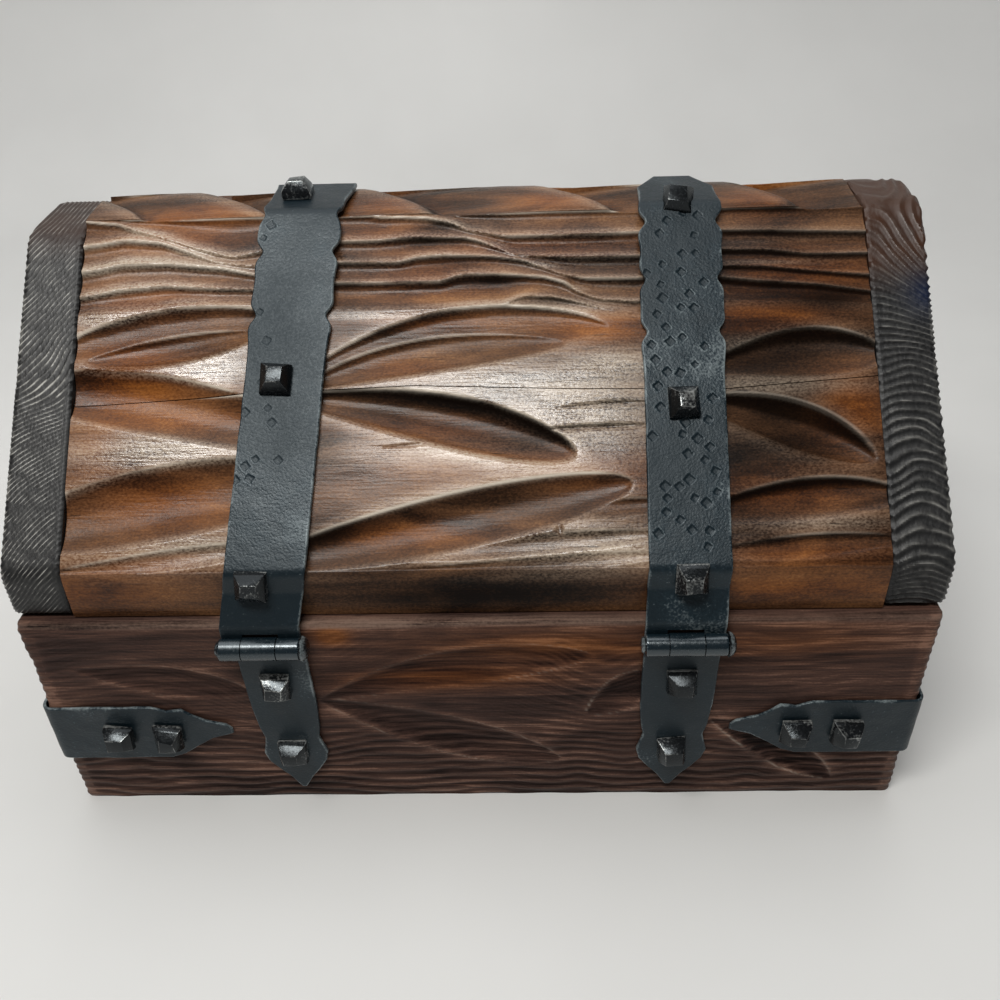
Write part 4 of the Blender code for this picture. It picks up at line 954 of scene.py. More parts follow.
@dataclass(frozen=True)
class VarnishedWood:
    """Stained and varnished wood: orange in places, with painted shade and stain in its hollows, silvery where
    it is rubbed and where its sheen is painted.

    Fields:
        name: the material's name.
        plain: its brown from deepest to brightest, five colours.
        warm: the orange brown that its warm mark leads to, five colours.
        silver: the colour of rubbed wood and of the varnish's painted sheen.
        edge: the colour of the painted glint along crests.
        grain: which way its fibres run.
        tone: how bright it is, from 0 to 1.
        roughness: of its varnish.
        specular: how strongly its varnish mirrors.
        relief: height of its fibres.
        streak: how strongly long fibres mark its colour.
        speckle: how strongly fine specks mark it.
        cloudy: how strongly broad clouds mark it.
        crest_gain: how much paler its crests are.
    """

    name: str
    plain: tuple[tuple[float, float, float], ...]
    warm: tuple[tuple[float, float, float], ...]
    silver: tuple[float, float, float] = (0.46, 0.38, 0.29)
    edge: tuple[float, float, float] = (0.62, 0.55, 0.46)
    grain: Grain = Grain.ALONG
    tone: float = 0.56
    roughness: float = 0.24
    specular: float = 0.70
    relief: float = 0.00020
    streak: float = 0.24
    speckle: float = 1.0
    cloudy: float = 1.25
    crest_gain: float = 0.12

    def make(self) -> bpy.types.Material:
        """Build the material.

        Returns:
            The material.
        """
        material, nodes = new_material(self.name)
        grain = WoodNoise.drawn(nodes, self.grain)
        nodes.feed("Base Color", self.colour(nodes, grain))
        self.shine(nodes, grain)
        height = nodes.plus(nodes.times(grain.pores, 0.7), grain.fibres, 0.8 * self.streak)
        height = nodes.plus(height, grain.hairs, 0.5 * self.streak)
        height = nodes.plus(height, grain.specks, 0.32)
        nodes.bump(height, self.relief, nodes.plus(0.55, nodes.mark("silver"), 0.35, clamp=True))
        return material

    def colour(self, nodes: Nodes, grain: "WoodNoise") -> bpy.types.NodeSocket:
        """The stain, its silvery rub and painted sheen, its pores, the painted glint on its crests, and the
        painted shade and stain in its hollows.

        Args:
            nodes: the material's nodes.
            grain: the board's noises.

        Returns:
            The colour.
        """
        tone = nodes.sway(self.tone, grain.specks, 0.60 * self.speckle)
        for noise, weight in ((grain.fibres, 1.1 * self.streak), (grain.hairs, 0.8 * self.streak),
                              (grain.clouds, self.cloudy)):
            tone = nodes.sway(tone, noise, weight)
        # Paler on crests and in warm patches; darker by the hollow mark, which is painted shade on the lid, and
        # darker grain and stained veins on the base
        tone = nodes.plus(tone, nodes.mark("worn"), self.crest_gain)
        tone = nodes.plus(tone, nodes.mark("warm"), 0.12)
        tone = nodes.plus(tone, nodes.mark("hollow"), -0.46, clamp=True)
        cool, orange = (nodes.ramp(tone, tuple(zip(TONE_STOPS, stain))) for stain in (self.plain, self.warm))
        colour = nodes.blend(nodes.mark("warm"), cool, orange)
        fleck = nodes.sway(0.52, grain.specks, 2.6 * self.speckle)
        fleck = nodes.sway(fleck, grain.hairs, 2.0 * self.streak, clamp=True)
        fleck = nodes.sway(fleck, grain.clouds, 1.6)
        # Rubbed wood and the varnish's painted sheen turn silvery, flecked by the grain
        rubbed = nodes.times(fleck, nodes.mark("silver"), clamp=True)
        colour = nodes.blend(nodes.times(rubbed, 0.85), colour, self.silver)
        pore = nodes.plus(2.7, grain.pores, -8.0, clamp=True)
        colour = nodes.blend(nodes.times(pore, 0.65), colour, self.plain[0])
        # Painted highlight: a pale glint along the brink of each crest, broken up by the clouds
        painted_glint_share = nodes.times(nodes.mark("glint"), nodes.plus(-1.3, grain.clouds, 4.0, clamp=True))
        colour = nodes.blend(painted_glint_share, colour, self.edge)
        # Where the hollow mark is strong, painted shade and stain go towards the deepest brown
        painted_shade_and_stain = nodes.plus(-0.80, nodes.mark("hollow"), 1.7, clamp=True)
        return nodes.blend(nodes.times(painted_shade_and_stain, 0.9), colour, self.plain[0])

    def shine(self, nodes: Nodes, grain: "WoodNoise") -> None:
        """Make the varnish smooth on rubbed wood and dull in hollows.

        Args:
            nodes: the material's nodes.
            grain: the board's noises.
        """
        dull = nodes.plus(self.roughness - 0.13, grain.hairs, 0.20)
        dull = nodes.plus(dull, grain.clouds, 0.14)
        dull = nodes.plus(dull, nodes.mark("silver"), -0.06)
        nodes.feed("Roughness", nodes.plus(dull, nodes.mark("hollow"), 0.20))
        mirror = nodes.plus(0.28, nodes.mark("silver"), 0.72, clamp=True)
        mirror = nodes.times(mirror, nodes.plus(1.0, nodes.mark("hollow"), -0.95))
        nodes.feed("Specular IOR Level", nodes.times(mirror, self.specular))


@dataclass(frozen=True)
class WoodNoise:
    """The noises that mark a board, all drawn out along its fibres.

    Fields:
        fibres, pores, hairs, specks: from the longest marks to the finest.
        clouds: broad changes of tone.
    """

    fibres: bpy.types.NodeSocket
    pores: bpy.types.NodeSocket
    hairs: bpy.types.NodeSocket
    specks: bpy.types.NodeSocket
    clouds: bpy.types.NodeSocket

    @classmethod
    def drawn(cls, nodes: Nodes, grain: Grain) -> "WoodNoise":
        """Add the noises to a material.

        Args:
            nodes: the material's nodes.
            grain: which way the fibres run.

        Returns:
            The noises.
        """
        rows = ((18.0, 0.92, 5.0, 0.4), (90.0, 0.72, 2.0, 0.0), (60.0, 1.02, 3.0, 0.0),
                (1100.0, 0.12, 3.0, 0.0), (22.0, 0.35, 4.0, 0.8))
        return cls(*(nodes.noise([scale * k ** stretch for k in grain.value], detail, warp)
                     for scale, stretch, detail, warp in rows))


@dataclass(frozen=True)
class CharredWood:
    """Blackened, brushed end boards with a painted glint along their raised rings, and brown left on top.

    Fields:
        name: the material's name.
        black: the colour between the rings.
        slate: the colour on them.
        glint: the colour of the painted glint on the rings, and of rubbed arrises.
        brown: the colour that its warm mark leads to.
        blue: the colour that its hollow mark leads to.
    """

    name: str = "charred_boards"
    black: tuple[float, float, float] = (0.010, 0.010, 0.0105)
    slate: tuple[float, float, float] = (0.044, 0.043, 0.041)
    glint: tuple[float, float, float] = (0.42, 0.41, 0.38)
    brown: tuple[float, float, float] = (0.050, 0.021, 0.011)
    blue: tuple[float, float, float] = (0.006, 0.012, 0.034)

    def make(self) -> bpy.types.Material:
        """Build the material.

        Returns:
            The material.
        """
        material, nodes = new_material(self.name)
        fine = nodes.noise((900.0, 420.0, 420.0), 4.0)
        dashes = nodes.noise((160.0, 260.0, 260.0), 4.0)
        clouds = nodes.noise((60.0, 60.0, 60.0), 3.0)
        body = nodes.plus(-0.10, nodes.mark("ridge"), 0.75)
        body = nodes.sway(body, fine, 1.6, clamp=True)
        colour = nodes.ramp(body, ((0.0, self.black), (1.0, self.slate)))
        # Painted highlight: a glint along the crests of the rings, broken into dashes; rubbed arrises are pale
        # too
        crest = nodes.times(nodes.maths("POWER", nodes.mark("ridge"), 8.0),
                            nodes.plus(-1.7, dashes, 4.2, clamp=True))
        arris = nodes.times(nodes.mark("worn"), nodes.plus(-1.1, dashes, 2.4, clamp=True))
        bright = nodes.plus(arris, crest, nodes.mark("rubbed"), clamp=True)
        colour = nodes.blend(bright, colour, self.glint)
        warm = nodes.times(nodes.mark("warm"), nodes.times(clouds, 1.6, clamp=True), clamp=True)
        colour = nodes.blend(warm, colour, self.brown)
        colour = nodes.blend(nodes.mark("hollow"), colour, self.blue)
        nodes.feed("Base Color", colour)
        nodes.feed("Roughness", nodes.plus(nodes.plus(0.44, nodes.mark("ridge"), -0.20), fine, 0.15))
        nodes.feed("Specular IOR Level", 0.38)
        nodes.bump(fine, 0.00020, 0.8)
        return material


@dataclass(frozen=True)
class BlackIron:
    """Forged iron in charcoal paint, speckled, with its edges rubbed to a paler sheen.

    Fields:
        name: the material's name.
        paint: the paint's colour.
        rubbed: its colour where it is rubbed, and where sheen and highlight are painted.
        roughness: of the paint.
        speckle: height of its grit.
        metallic: how much of the light is mirrored by metal.
        sparkle: how many bright specks it has, from 0 to 1.
        specular: how strongly the paint mirrors.
        glare: the colour of what it mirrors.
    """

    name: str
    paint: tuple[float, float, float] = (0.0050, 0.0110, 0.0155)
    rubbed: tuple[float, float, float] = (0.180, 0.212, 0.220)
    roughness: float = 0.42
    speckle: float = 0.00006
    metallic: float = 0.35
    sparkle: float = 0.0
    specular: float = 0.38
    glare: tuple[float, float, float] = (0.86, 0.95, 1.0)

    def make(self) -> bpy.types.Material:
        """Build the material.

        Returns:
            The material.
        """
        material, nodes = new_material(self.name)
        grit, blotch, cloud = (nodes.noise((scale,) * 3, detail)
                               for scale, detail in ((1300.0, 3.0), (90.0, 4.0), (28.0, 3.0)))
        # How far the paint pales towards its rubbed colour: by blotches, clouds and grit, and by the worn mark,
        # which brings real wear, and painted sheen and highlight on some pieces
        paler_by = nodes.sway(nodes.sway(-0.05, blotch, 1.3), cloud, 1.5)
        paler_by = nodes.plus(paler_by, nodes.mark("glossy"), -0.30)
        paler_by = nodes.sway(paler_by, grit, 1.2)
        paler_by = nodes.plus(paler_by, nodes.mark("worn"), 0.9, clamp=True)
        colour = nodes.ramp(paler_by, ((0.0, self.paint), (0.35, tuple(1.5 * k for k in self.paint)),
                                  (1.0, self.rubbed)))
        speck = nodes.plus(-4.6, grit, 7.0, clamp=True)
        nodes.feed("Base Color", nodes.blend(nodes.times(speck, self.sparkle), colour, self.rubbed))
        nodes.feed("Metallic", self.metallic)
        nodes.feed("Specular Tint", (*self.glare, 1.0))
        nodes.feed("Specular IOR Level", nodes.plus(self.specular, nodes.mark("glossy"), 0.55))
        dull = nodes.plus(self.roughness - 0.12, grit, 0.30)
        dull = nodes.sway(dull, cloud, -0.35)
        dull = nodes.plus(dull, nodes.mark("worn"), -0.12)
        nodes.feed("Roughness", nodes.plus(dull, nodes.mark("glossy"), -0.18))
        nodes.bump(nodes.plus(grit, blotch, 1.4), self.speckle, nodes.plus(0.9, nodes.mark("glossy"), -0.75))
        return material


CARVED_STAIN = VarnishedWood(
    "carved_stain",
    # Plain and warm, each from deepest to brightest
    ((0.006, 0.0035, 0.0025), (0.028, 0.0135, 0.0070), (0.074, 0.035, 0.017), (0.145, 0.068, 0.030),
     (0.270, 0.140, 0.062)),
    ((0.010, 0.004, 0.002), (0.042, 0.0125, 0.0035), (0.115, 0.035, 0.0075), (0.215, 0.070, 0.013),
     (0.340, 0.125, 0.026)))
BASE_STAIN = VarnishedWood(
    "base_stain",
    ((0.007, 0.0045, 0.0044), (0.0230, 0.0130, 0.0108), (0.050, 0.0275, 0.0220), (0.090, 0.047, 0.0345),
     (0.250, 0.138, 0.098)),
    ((0.008, 0.004, 0.003), (0.032, 0.0105, 0.0050), (0.082, 0.028, 0.010), (0.150, 0.052, 0.016),
     (0.300, 0.115, 0.038)),
    silver=(0.21, 0.138, 0.105), tone=0.60, roughness=0.36, specular=0.25, relief=0.00018,
    streak=0.8, speckle=0.35, cloudy=0.8, crest_gain=0.14)
END_STAIN = replace(BASE_STAIN, name="base_end_stain", grain=Grain.ACROSS)
STRAP_PAINT = BlackIron("strap_paint", roughness=0.40, metallic=0.0, speckle=0.00013, sparkle=0.45)
BARREL_PAINT = BlackIron("barrel_paint", (0.004, 0.005, 0.006), roughness=0.22, speckle=0.00003, metallic=0.0,
                         specular=0.8)
NAIL_PAINT = BlackIron("nail_paint", (0.008, 0.009, 0.010), (0.36, 0.37, 0.36), roughness=0.20,
                       speckle=0.00004, sparkle=0.1)


@dataclass
class Palette:
    """The chest's finishes, made once.

    Fields:
        carved: stain of the lid's boards.
        base, base_end: stain of the base's long boards and of its ends.
        charred: black of the lid's caps.
        strap, barrel, nail: paint of flat irons, of turned pins and of nails.
    """

    carved: bpy.types.Material
    base: bpy.types.Material
    base_end: bpy.types.Material
    charred: bpy.types.Material
    strap: bpy.types.Material
    barrel: bpy.types.Material
    nail: bpy.types.Material

    @classmethod
    def make(cls) -> "Palette":
        """Build every material."""
        return cls(CARVED_STAIN.make(), BASE_STAIN.make(), END_STAIN.make(), CharredWood().make(),
                   STRAP_PAINT.make(), BARREL_PAINT.make(), NAIL_PAINT.make())


@dataclass
class CarvedLid:
    """The lid's five carved boards.

    Fields:
        palette: the chest's finishes.
        surface: the surface that they are cut into.
        column: distance between their points along the lid.
        row: distance between their points up the slope.
        ridge_rows: rows of points across the ridge.
        joint: how far up the slope the joint lies about, for the boards' backs.
        stray: how far it may stray from there.
        joint_reach: how far a back reaches into the joint, so that no light comes through.
    """

    palette: Palette
    sizes: ChestSizes = SIZES
    surface: LidSurface = LidSurface()
    column: float = 0.00058
    row: float = 0.00042
    ridge_rows: int = 52
    joint: float = 0.058
    stray: float = 0.006
    joint_reach: float = 0.00013

    def build(self) -> None:
        """Build all five boards."""
        for face in Face:
            for lower in (True, False):
                self.slope_board(face, lower)
        self.ridge_board()

    def columns(self) -> Array:
        """Places along the boards."""
        half = self.sizes.lid_board_half
        return np.linspace(-half, half, round(2.0 * half / self.column) + 1)

    def marks(self, depth: Array, r: Array, run: Array) -> Marks:
        """Painted marks of a carved face.

        Args:
            depth: depth of the carving on its grid.
            r: places to the right as its viewer sees them, in millimetres.
            run: running length.

        Returns:
            The worn, glint, hollow, warm and silver marks: glint is a painted highlight, hollow painted shade,
            and the last rubbed wood with painted sheen.
        """
        s = run / MM
        # Painted shade: darker under steep walls that face down the slope, and a little in the deepest floors
        overhang = -np.gradient(depth, axis=0) / np.gradient(run, axis=0)
        painted_shade_and_stain = np.clip(overhang / 1.25, 0.0, 1.0) * 1.05 + np.clip(depth / 0.0045, 0.0, 1.0) * 0.06
        # Crests are paler, and a painted glint runs along the brink of each wall; both fade in the right bay
        side = 1.0 - 0.65 * smooth_step((r - SHADED_BAY) / 8.0)
        worn = np.clip((blurred(depth, 9) - depth - 0.00010) / 0.00045, 0.0, 1.0) * side
        over_wall = np.clip(3.0 * blurred(overhang, 3), 0.0, 1.0)
        # The silvery rub and the painted sheen stop where a hollow is cut, and crests get a little painted
        # sheen
        cut = smooth_step((depth - 0.0006) / 0.0012)
        return {
            "worn": worn,
            "glint": smooth_step((blurred(depth, 2) - depth - 0.00004) / 0.00014) * over_wall * side,
            "hollow": np.clip(painted_shade_and_stain + 0.6 * patches(SLOPE_SHADE, r, s), 0.0, 1.0),
            "warm": np.clip(patches(SLOPE_WARMTH, r, s), 0.0, 1.2),
            "silver": np.clip(patches(SLOPE_RUB_AND_PAINTED_SHEEN, r, s) * (1.0 - 0.9 * cut) + 0.3 * worn, 0.0, 1.2),
        }

    def slope_board(self, face: Face, lower: bool) -> None:
        """Build a board of a slope.

        Args:
            face: the slope's side.
            lower: whether it is the lower one of the two.
        """
        sizes = self.sizes
        x = self.columns()
        joint = joint_line(-face.value * x / MM)
        gap = sizes.seat_gap / 2
        if lower:
            low, high = np.full(x.shape, -sizes.upright), joint - gap
        else:
            low, high = joint + gap, np.full(x.shape, sizes.slope_length - gap)
        count = round(float(np.mean(high - low)) / self.row) + 1
        share = np.linspace(0.0, 1.0, count)[:, None]
        run = low + (high - low) * share
        grid_x = np.broadcast_to(x, run.shape)
        depth = self.surface.depth(grid_x, run, face)
        depth = 0.6 * depth + 0.4 * blurred(depth, 1)
        y, z, angle = self.surface.place(run)
        outer = np.stack([grid_x, face.value * (y - depth * np.cos(angle)), z - depth * np.sin(angle)], axis=-1)
        back_low, back_high = self.back_line(lower)
        span = back_high - back_low
        length = math.hypot(*span)
        reach = self.joint_reach if lower else -self.joint_reach

        def back(rim: Array) -> Array:
            """Points of the flat back behind the rim."""
            offset = np.stack([rim[:, 1] * face.value, rim[:, 2]], axis=-1) - back_low
            share = np.clip(offset @ span / length ** 2 + reach / length, 0.0, 1.0)
            on_back = back_low + share[:, None] * span
            return np.stack([rim[:, 0], on_back[:, 0] * face.value, on_back[:, 1]], axis=-1)

        r = -face.value * grid_x / MM
        node = f"lid_{face.name.lower()}_{'lower' if lower else 'upper'}_board"
        sketch = panel(outer, back, 2, self.marks(depth, r, run))
        make_piece(node + "_carved", sketch, self.palette.carved, Body.LID, [node])

    def back_line(self, lower: bool) -> tuple[Array, Array]:
        """The line that a slope board's flat back follows, on the back half of the lid.

        Args:
            lower: whether it is the lower board.

        Returns:
            Its ends (y, z), past the joint on that side.
        """
        sizes = self.sizes
        cosine, sine = math.cos(sizes.slope_angle), math.sin(sizes.slope_angle)

        def inside(run: float) -> Array:
            """A point at the board's thickness under the slope."""
            return np.array([sizes.lid_half_depth - run * cosine - sizes.board * sine,
                             sizes.arris_height + run * sine - sizes.board * cosine])

        if lower:
            seat_run = (sizes.board / cosine - sizes.upright) / math.tan(sizes.slope_angle)
            seat = np.array([sizes.lid_half_depth - seat_run, sizes.lid_seat])
            return seat, inside(self.joint + self.stray)
        mitre = sizes.slope_length - sizes.board * math.tan(sizes.slope_angle / 2)
        return inside(self.joint - self.stray), inside(mitre)

    def ridge_board(self) -> None:
        """Build the flat-topped ridge board."""
        sizes = self.sizes
        x = self.columns()
        run = np.linspace(sizes.slope_length + sizes.seat_gap / 2,
                          sizes.slope_length + sizes.ridge_width - sizes.seat_gap / 2,
                          self.ridge_rows)[:, None]
        grid_x = np.broadcast_to(x, (len(run), len(x)))
        grid_run = np.broadcast_to(run, grid_x.shape)
        depth = self.surface.depth(grid_x, grid_run, Face.BACK)
        far = sizes.slope_length + sizes.ridge_width - grid_run
        depth = depth + self.surface.wear * np.exp(-(far / ARRIS_REACH) ** 2)
        y, z, angle = self.surface.place(grid_run)
        lean = np.cos(angle) - np.cos(angle[::-1])
        outer = np.stack([grid_x, y - depth * lean, z - depth * np.sin(angle)], axis=-1)
        half_in = sizes.ridge_half - sizes.board * math.tan(sizes.slope_angle / 2)

        def back(rim: Array) -> Array:
            """Points of the flat underside."""
            return np.stack([rim[:, 0], np.clip(rim[:, 1], -half_in, half_in),
                             np.full(len(rim), sizes.ridge_height - sizes.board)], axis=-1)

        marks = self.marks(depth, -grid_x / MM, grid_run)
        # Painted shade on the walls of the ridge's waves that slant one way
        slant = np.gradient(depth, axis=1) / np.gradient(-grid_x, axis=1)
        marks["hollow"] = np.clip(marks["hollow"] + blurred(np.clip(slant / 0.5, 0.0, 0.7), 3), 0.0, 1.0)
        sketch = panel(outer, back, 2, marks)
        make_piece("lid_ridge_board_carved", sketch, self.palette.carved, Body.LID,
                   ["lid_ridge_board"])


@dataclass(frozen=True)
class Rings:
    """Growth rings that brushing has raised, as layers through a board.

    Fields:
        pitch: distance from ring to ring upwards.
        wander: how far they stray.
        height: how high the hard rings stand.
        seed: picks how they wander.
        knots: places (x, y, z, reach, push) that the rings run round.
        tilt: how much the layers climb along X.
        bow: how much they curve over the board's thickness.
        middle: the X about which they curve.
    """

    pitch: float
    wander: float
    height: float
    seed: int
    knots: tuple[tuple[float, float, float, float, float], ...]
    tilt: float = 0.0
    bow: float = 0.0
    middle: float = 0.0

    def ridge(self, points: Array) -> Array:
        """How near points are to a hard ring.

        Args:
            points: places in metres.

        Returns:
            1 on a ring and 0 between rings.
        """
        layer = points[..., 2] + self.tilt * points[..., 0]
        layer = layer + self.bow * (points[..., 0] - self.middle) ** 2
        layer = layer + self.wander * rough_noise(points, (0.030, 0.060, 0.030), self.seed)
        for x, y, z, reach, push in self.knots:
            away = np.linalg.norm(points - np.array([x, y, z]), axis=-1)
            layer = layer + push * np.exp(-(away / reach) ** 2)
        share = layer / self.pitch
        share = share + 0.22 * rough_noise(points, 0.011, self.seed + 7, 2)
        return (0.5 + 0.5 * np.cos(2.0 * np.pi * share)) ** 1.8

    def sunk(self, points: Array) -> Array:
        """How far the soft wood between the rings has been brushed away."""
        strength = 0.75 + 0.35 * rough_noise(points, 0.030, self.seed + 3, 2)
        return self.height * (1.0 - self.ridge(points)) * strength


@dataclass
class EndCap:
    """A blackened board that closes one end of the lid, brushed until its rings stand out.

    Fields:
        palette: the chest's finishes.
        end: the end that it closes.
        rings: its growth rings.
        brown: how much brown is left on its top.
        brown_from: the height from which it is brown.
        brown_rise: over how much height the brown sets in.
        rubbed: how strong the painted glint on its rings is.
        drop: how much lower than the ridge its top is.
        ink: the middle of a blue-black knot, if it has one.
        ink_reach: how far that knot reaches.
        chip_depth: how deeply its edges are chipped.
        step: distance between its points.
        rim: radius of the edge round its end face.
        bevel: how far it is bevelled against the boards.
        face_loops: loops of points over its end face.
        core_half, core_height: half length and height of the line that those loops close in on.
    """

    palette: Palette
    end: End
    rings: Rings
    brown: float
    brown_from: float
    rubbed: float
    drop: float = 0.0
    ink: Optional[tuple[float, float, float]] = None
    ink_reach: float = 0.007
    brown_rise: float = 0.016
    chip_depth: float = 0.0022
    sizes: ChestSizes = SIZES
    step: float = 0.0006
    rim: float = 0.0022
    bevel: float = 0.0008
    face_loops: int = 58
    core_half: float = 0.045
    core_height: float = 0.034

    def outline(self) -> Array:
        """The cap's outline with rounded corners.

        Returns:
            Points (y, z), evenly spaced.
        """
        sizes = self.sizes
        half = sizes.lid_half_depth
        ridge = sizes.ridge_half + self.drop / math.tan(sizes.slope_angle)
        top = sizes.ridge_height - self.drop
        corners = np.array([(-half, sizes.lid_seat), (half, sizes.lid_seat), (half, sizes.arris_height),
                            (ridge, top), (-ridge, top), (-half, sizes.arris_height)])
        radii = (0.0034, 0.0034, 0.0040, 0.0050, 0.0050, 0.0040)
        line: list[Array] = []
        for before, here, after, radius in zip(np.roll(corners, 1, axis=0), corners,
                                               np.roll(corners, -1, axis=0), radii):
            start, stop = (here + (other - here) / np.linalg.norm(other - here) * radius
                           for other in (before, after))
            line += bend(start, here, stop)
        loop = np.array(line + [line[0]])
        marks = distances(loop)
        even = np.linspace(0.0, marks[-1], round(marks[-1] / self.step), endpoint=False)
        return np.stack([np.interp(even, marks, loop[:, k]) for k in (0, 1)], axis=-1)

    def skin(self) -> tuple[Array, Array]:
        """The cap's uncut skin, from the middle of its end face to its inner edge.

        Returns:
            Its points and the way out at each of them, loop by loop.
        """
        sizes = self.sizes
        side = self.end.value
        line = self.outline()
        ahead = np.roll(line, -1, axis=0) - np.roll(line, 1, axis=0)
        ahead /= np.linalg.norm(ahead, axis=1)[:, None]
        outward = np.stack([ahead[:, 1], -ahead[:, 0]], axis=-1)
        outer_x = side * sizes.lid_half_width
        width = sizes.cap_thickness - self.rim - self.bevel
        rows = [(self.rim, outer_x, 90.0, 0.985 * k / self.face_loops) for k in range(self.face_loops, 0, -1)]
        for angle in np.linspace(90.0, 0.0, 7):
            turn = math.radians(angle)
            rows.append((self.rim * (1 - math.cos(turn)), outer_x - side * self.rim * (1 - math.sin(turn)),
                         angle, 0.0))
        rows += [(0.0, outer_x - side * (self.rim + width * share), 0.0, 0.0)
                 for share in np.linspace(0.0, 1.0, round(width / self.step) + 1)[1:]]
        rows.append((self.bevel, outer_x - side * sizes.cap_thickness, 0.0, 0.0))
        points, ways = [], []
        for inset, x, lean, shrink in rows:
            ring = line - outward * inset
            centre = np.stack([np.clip(ring[:, 0], -self.core_half, self.core_half),
                               np.full(len(ring), sizes.lid_seat + self.core_height)], axis=-1)
            ring = ring + (centre - ring) * shrink
            turn = math.radians(lean)
            points.append(in_yz(ring, x))
            ways.append(in_yz(outward * math.cos(turn), side * math.sin(turn)))
        return np.array(points), np.array(ways)

    def build(self) -> None:
        """Build the cap."""
        sizes = self.sizes
        points, way = self.skin()
        body = np.ones(points.shape[:2])
        body[-1] = 0.0
        chips = np.maximum(0.0, rough_noise(points, 0.016, self.rings.seed + 20, 2) - 0.42) * self.chip_depth
        edge = np.abs(np.abs(way[..., 0]) - 0.5) < 0.49
        sunk = self.rings.sunk(points) * body + chips * (edge + 0.35) * body + 0.0001
        floor = points[..., 2] < sizes.lid_seat + 0.0004
        points = points - way * np.where(floor, sunk * 0.2, sunk)[..., None]
        flat = points.reshape(-1, 3)
        inner_x = self.end.value * (sizes.lid_half_width - sizes.cap_thickness)
        inner_edge = smooth_step(1.3 - np.abs(flat[:, 0] - inner_x) / 0.0022)
        patchy = np.clip(rough_noise(flat, 0.010, 9), 0, 1)
        marks = {
            "ridge": self.rings.ridge(flat) * (1.0 - 0.8 * inner_edge),
            "worn": 0.6 * np.clip(edge.reshape(-1) * 0.7 + 0.3 * patchy, 0, 1),
            # Strength of the painted glint on the rings
            "rubbed": np.full(len(flat), self.rubbed),
            "warm": self.brown * smooth_step((flat[:, 2] - self.brown_from) / self.brown_rise),
        }
        if self.ink is not None:
            away = np.linalg.norm((flat - np.array(self.ink)) / self.ink_reach, axis=-1)
            marks["hollow"] = np.exp(-away ** 2)
        node = f"lid_{self.end.name.lower()}_cap"
        make_piece(node + "_brushed", Sketch(flat, tube_faces(*points.shape[:2]), marks), self.palette.charred,
                   Body.LID, [node], 50.0)


# Depth and reach of the wear on a base board's upper and lower arris
UPPER_WEAR = (0.0007, 0.0011)
LOWER_WEAR = (0.0004, 0.0012)


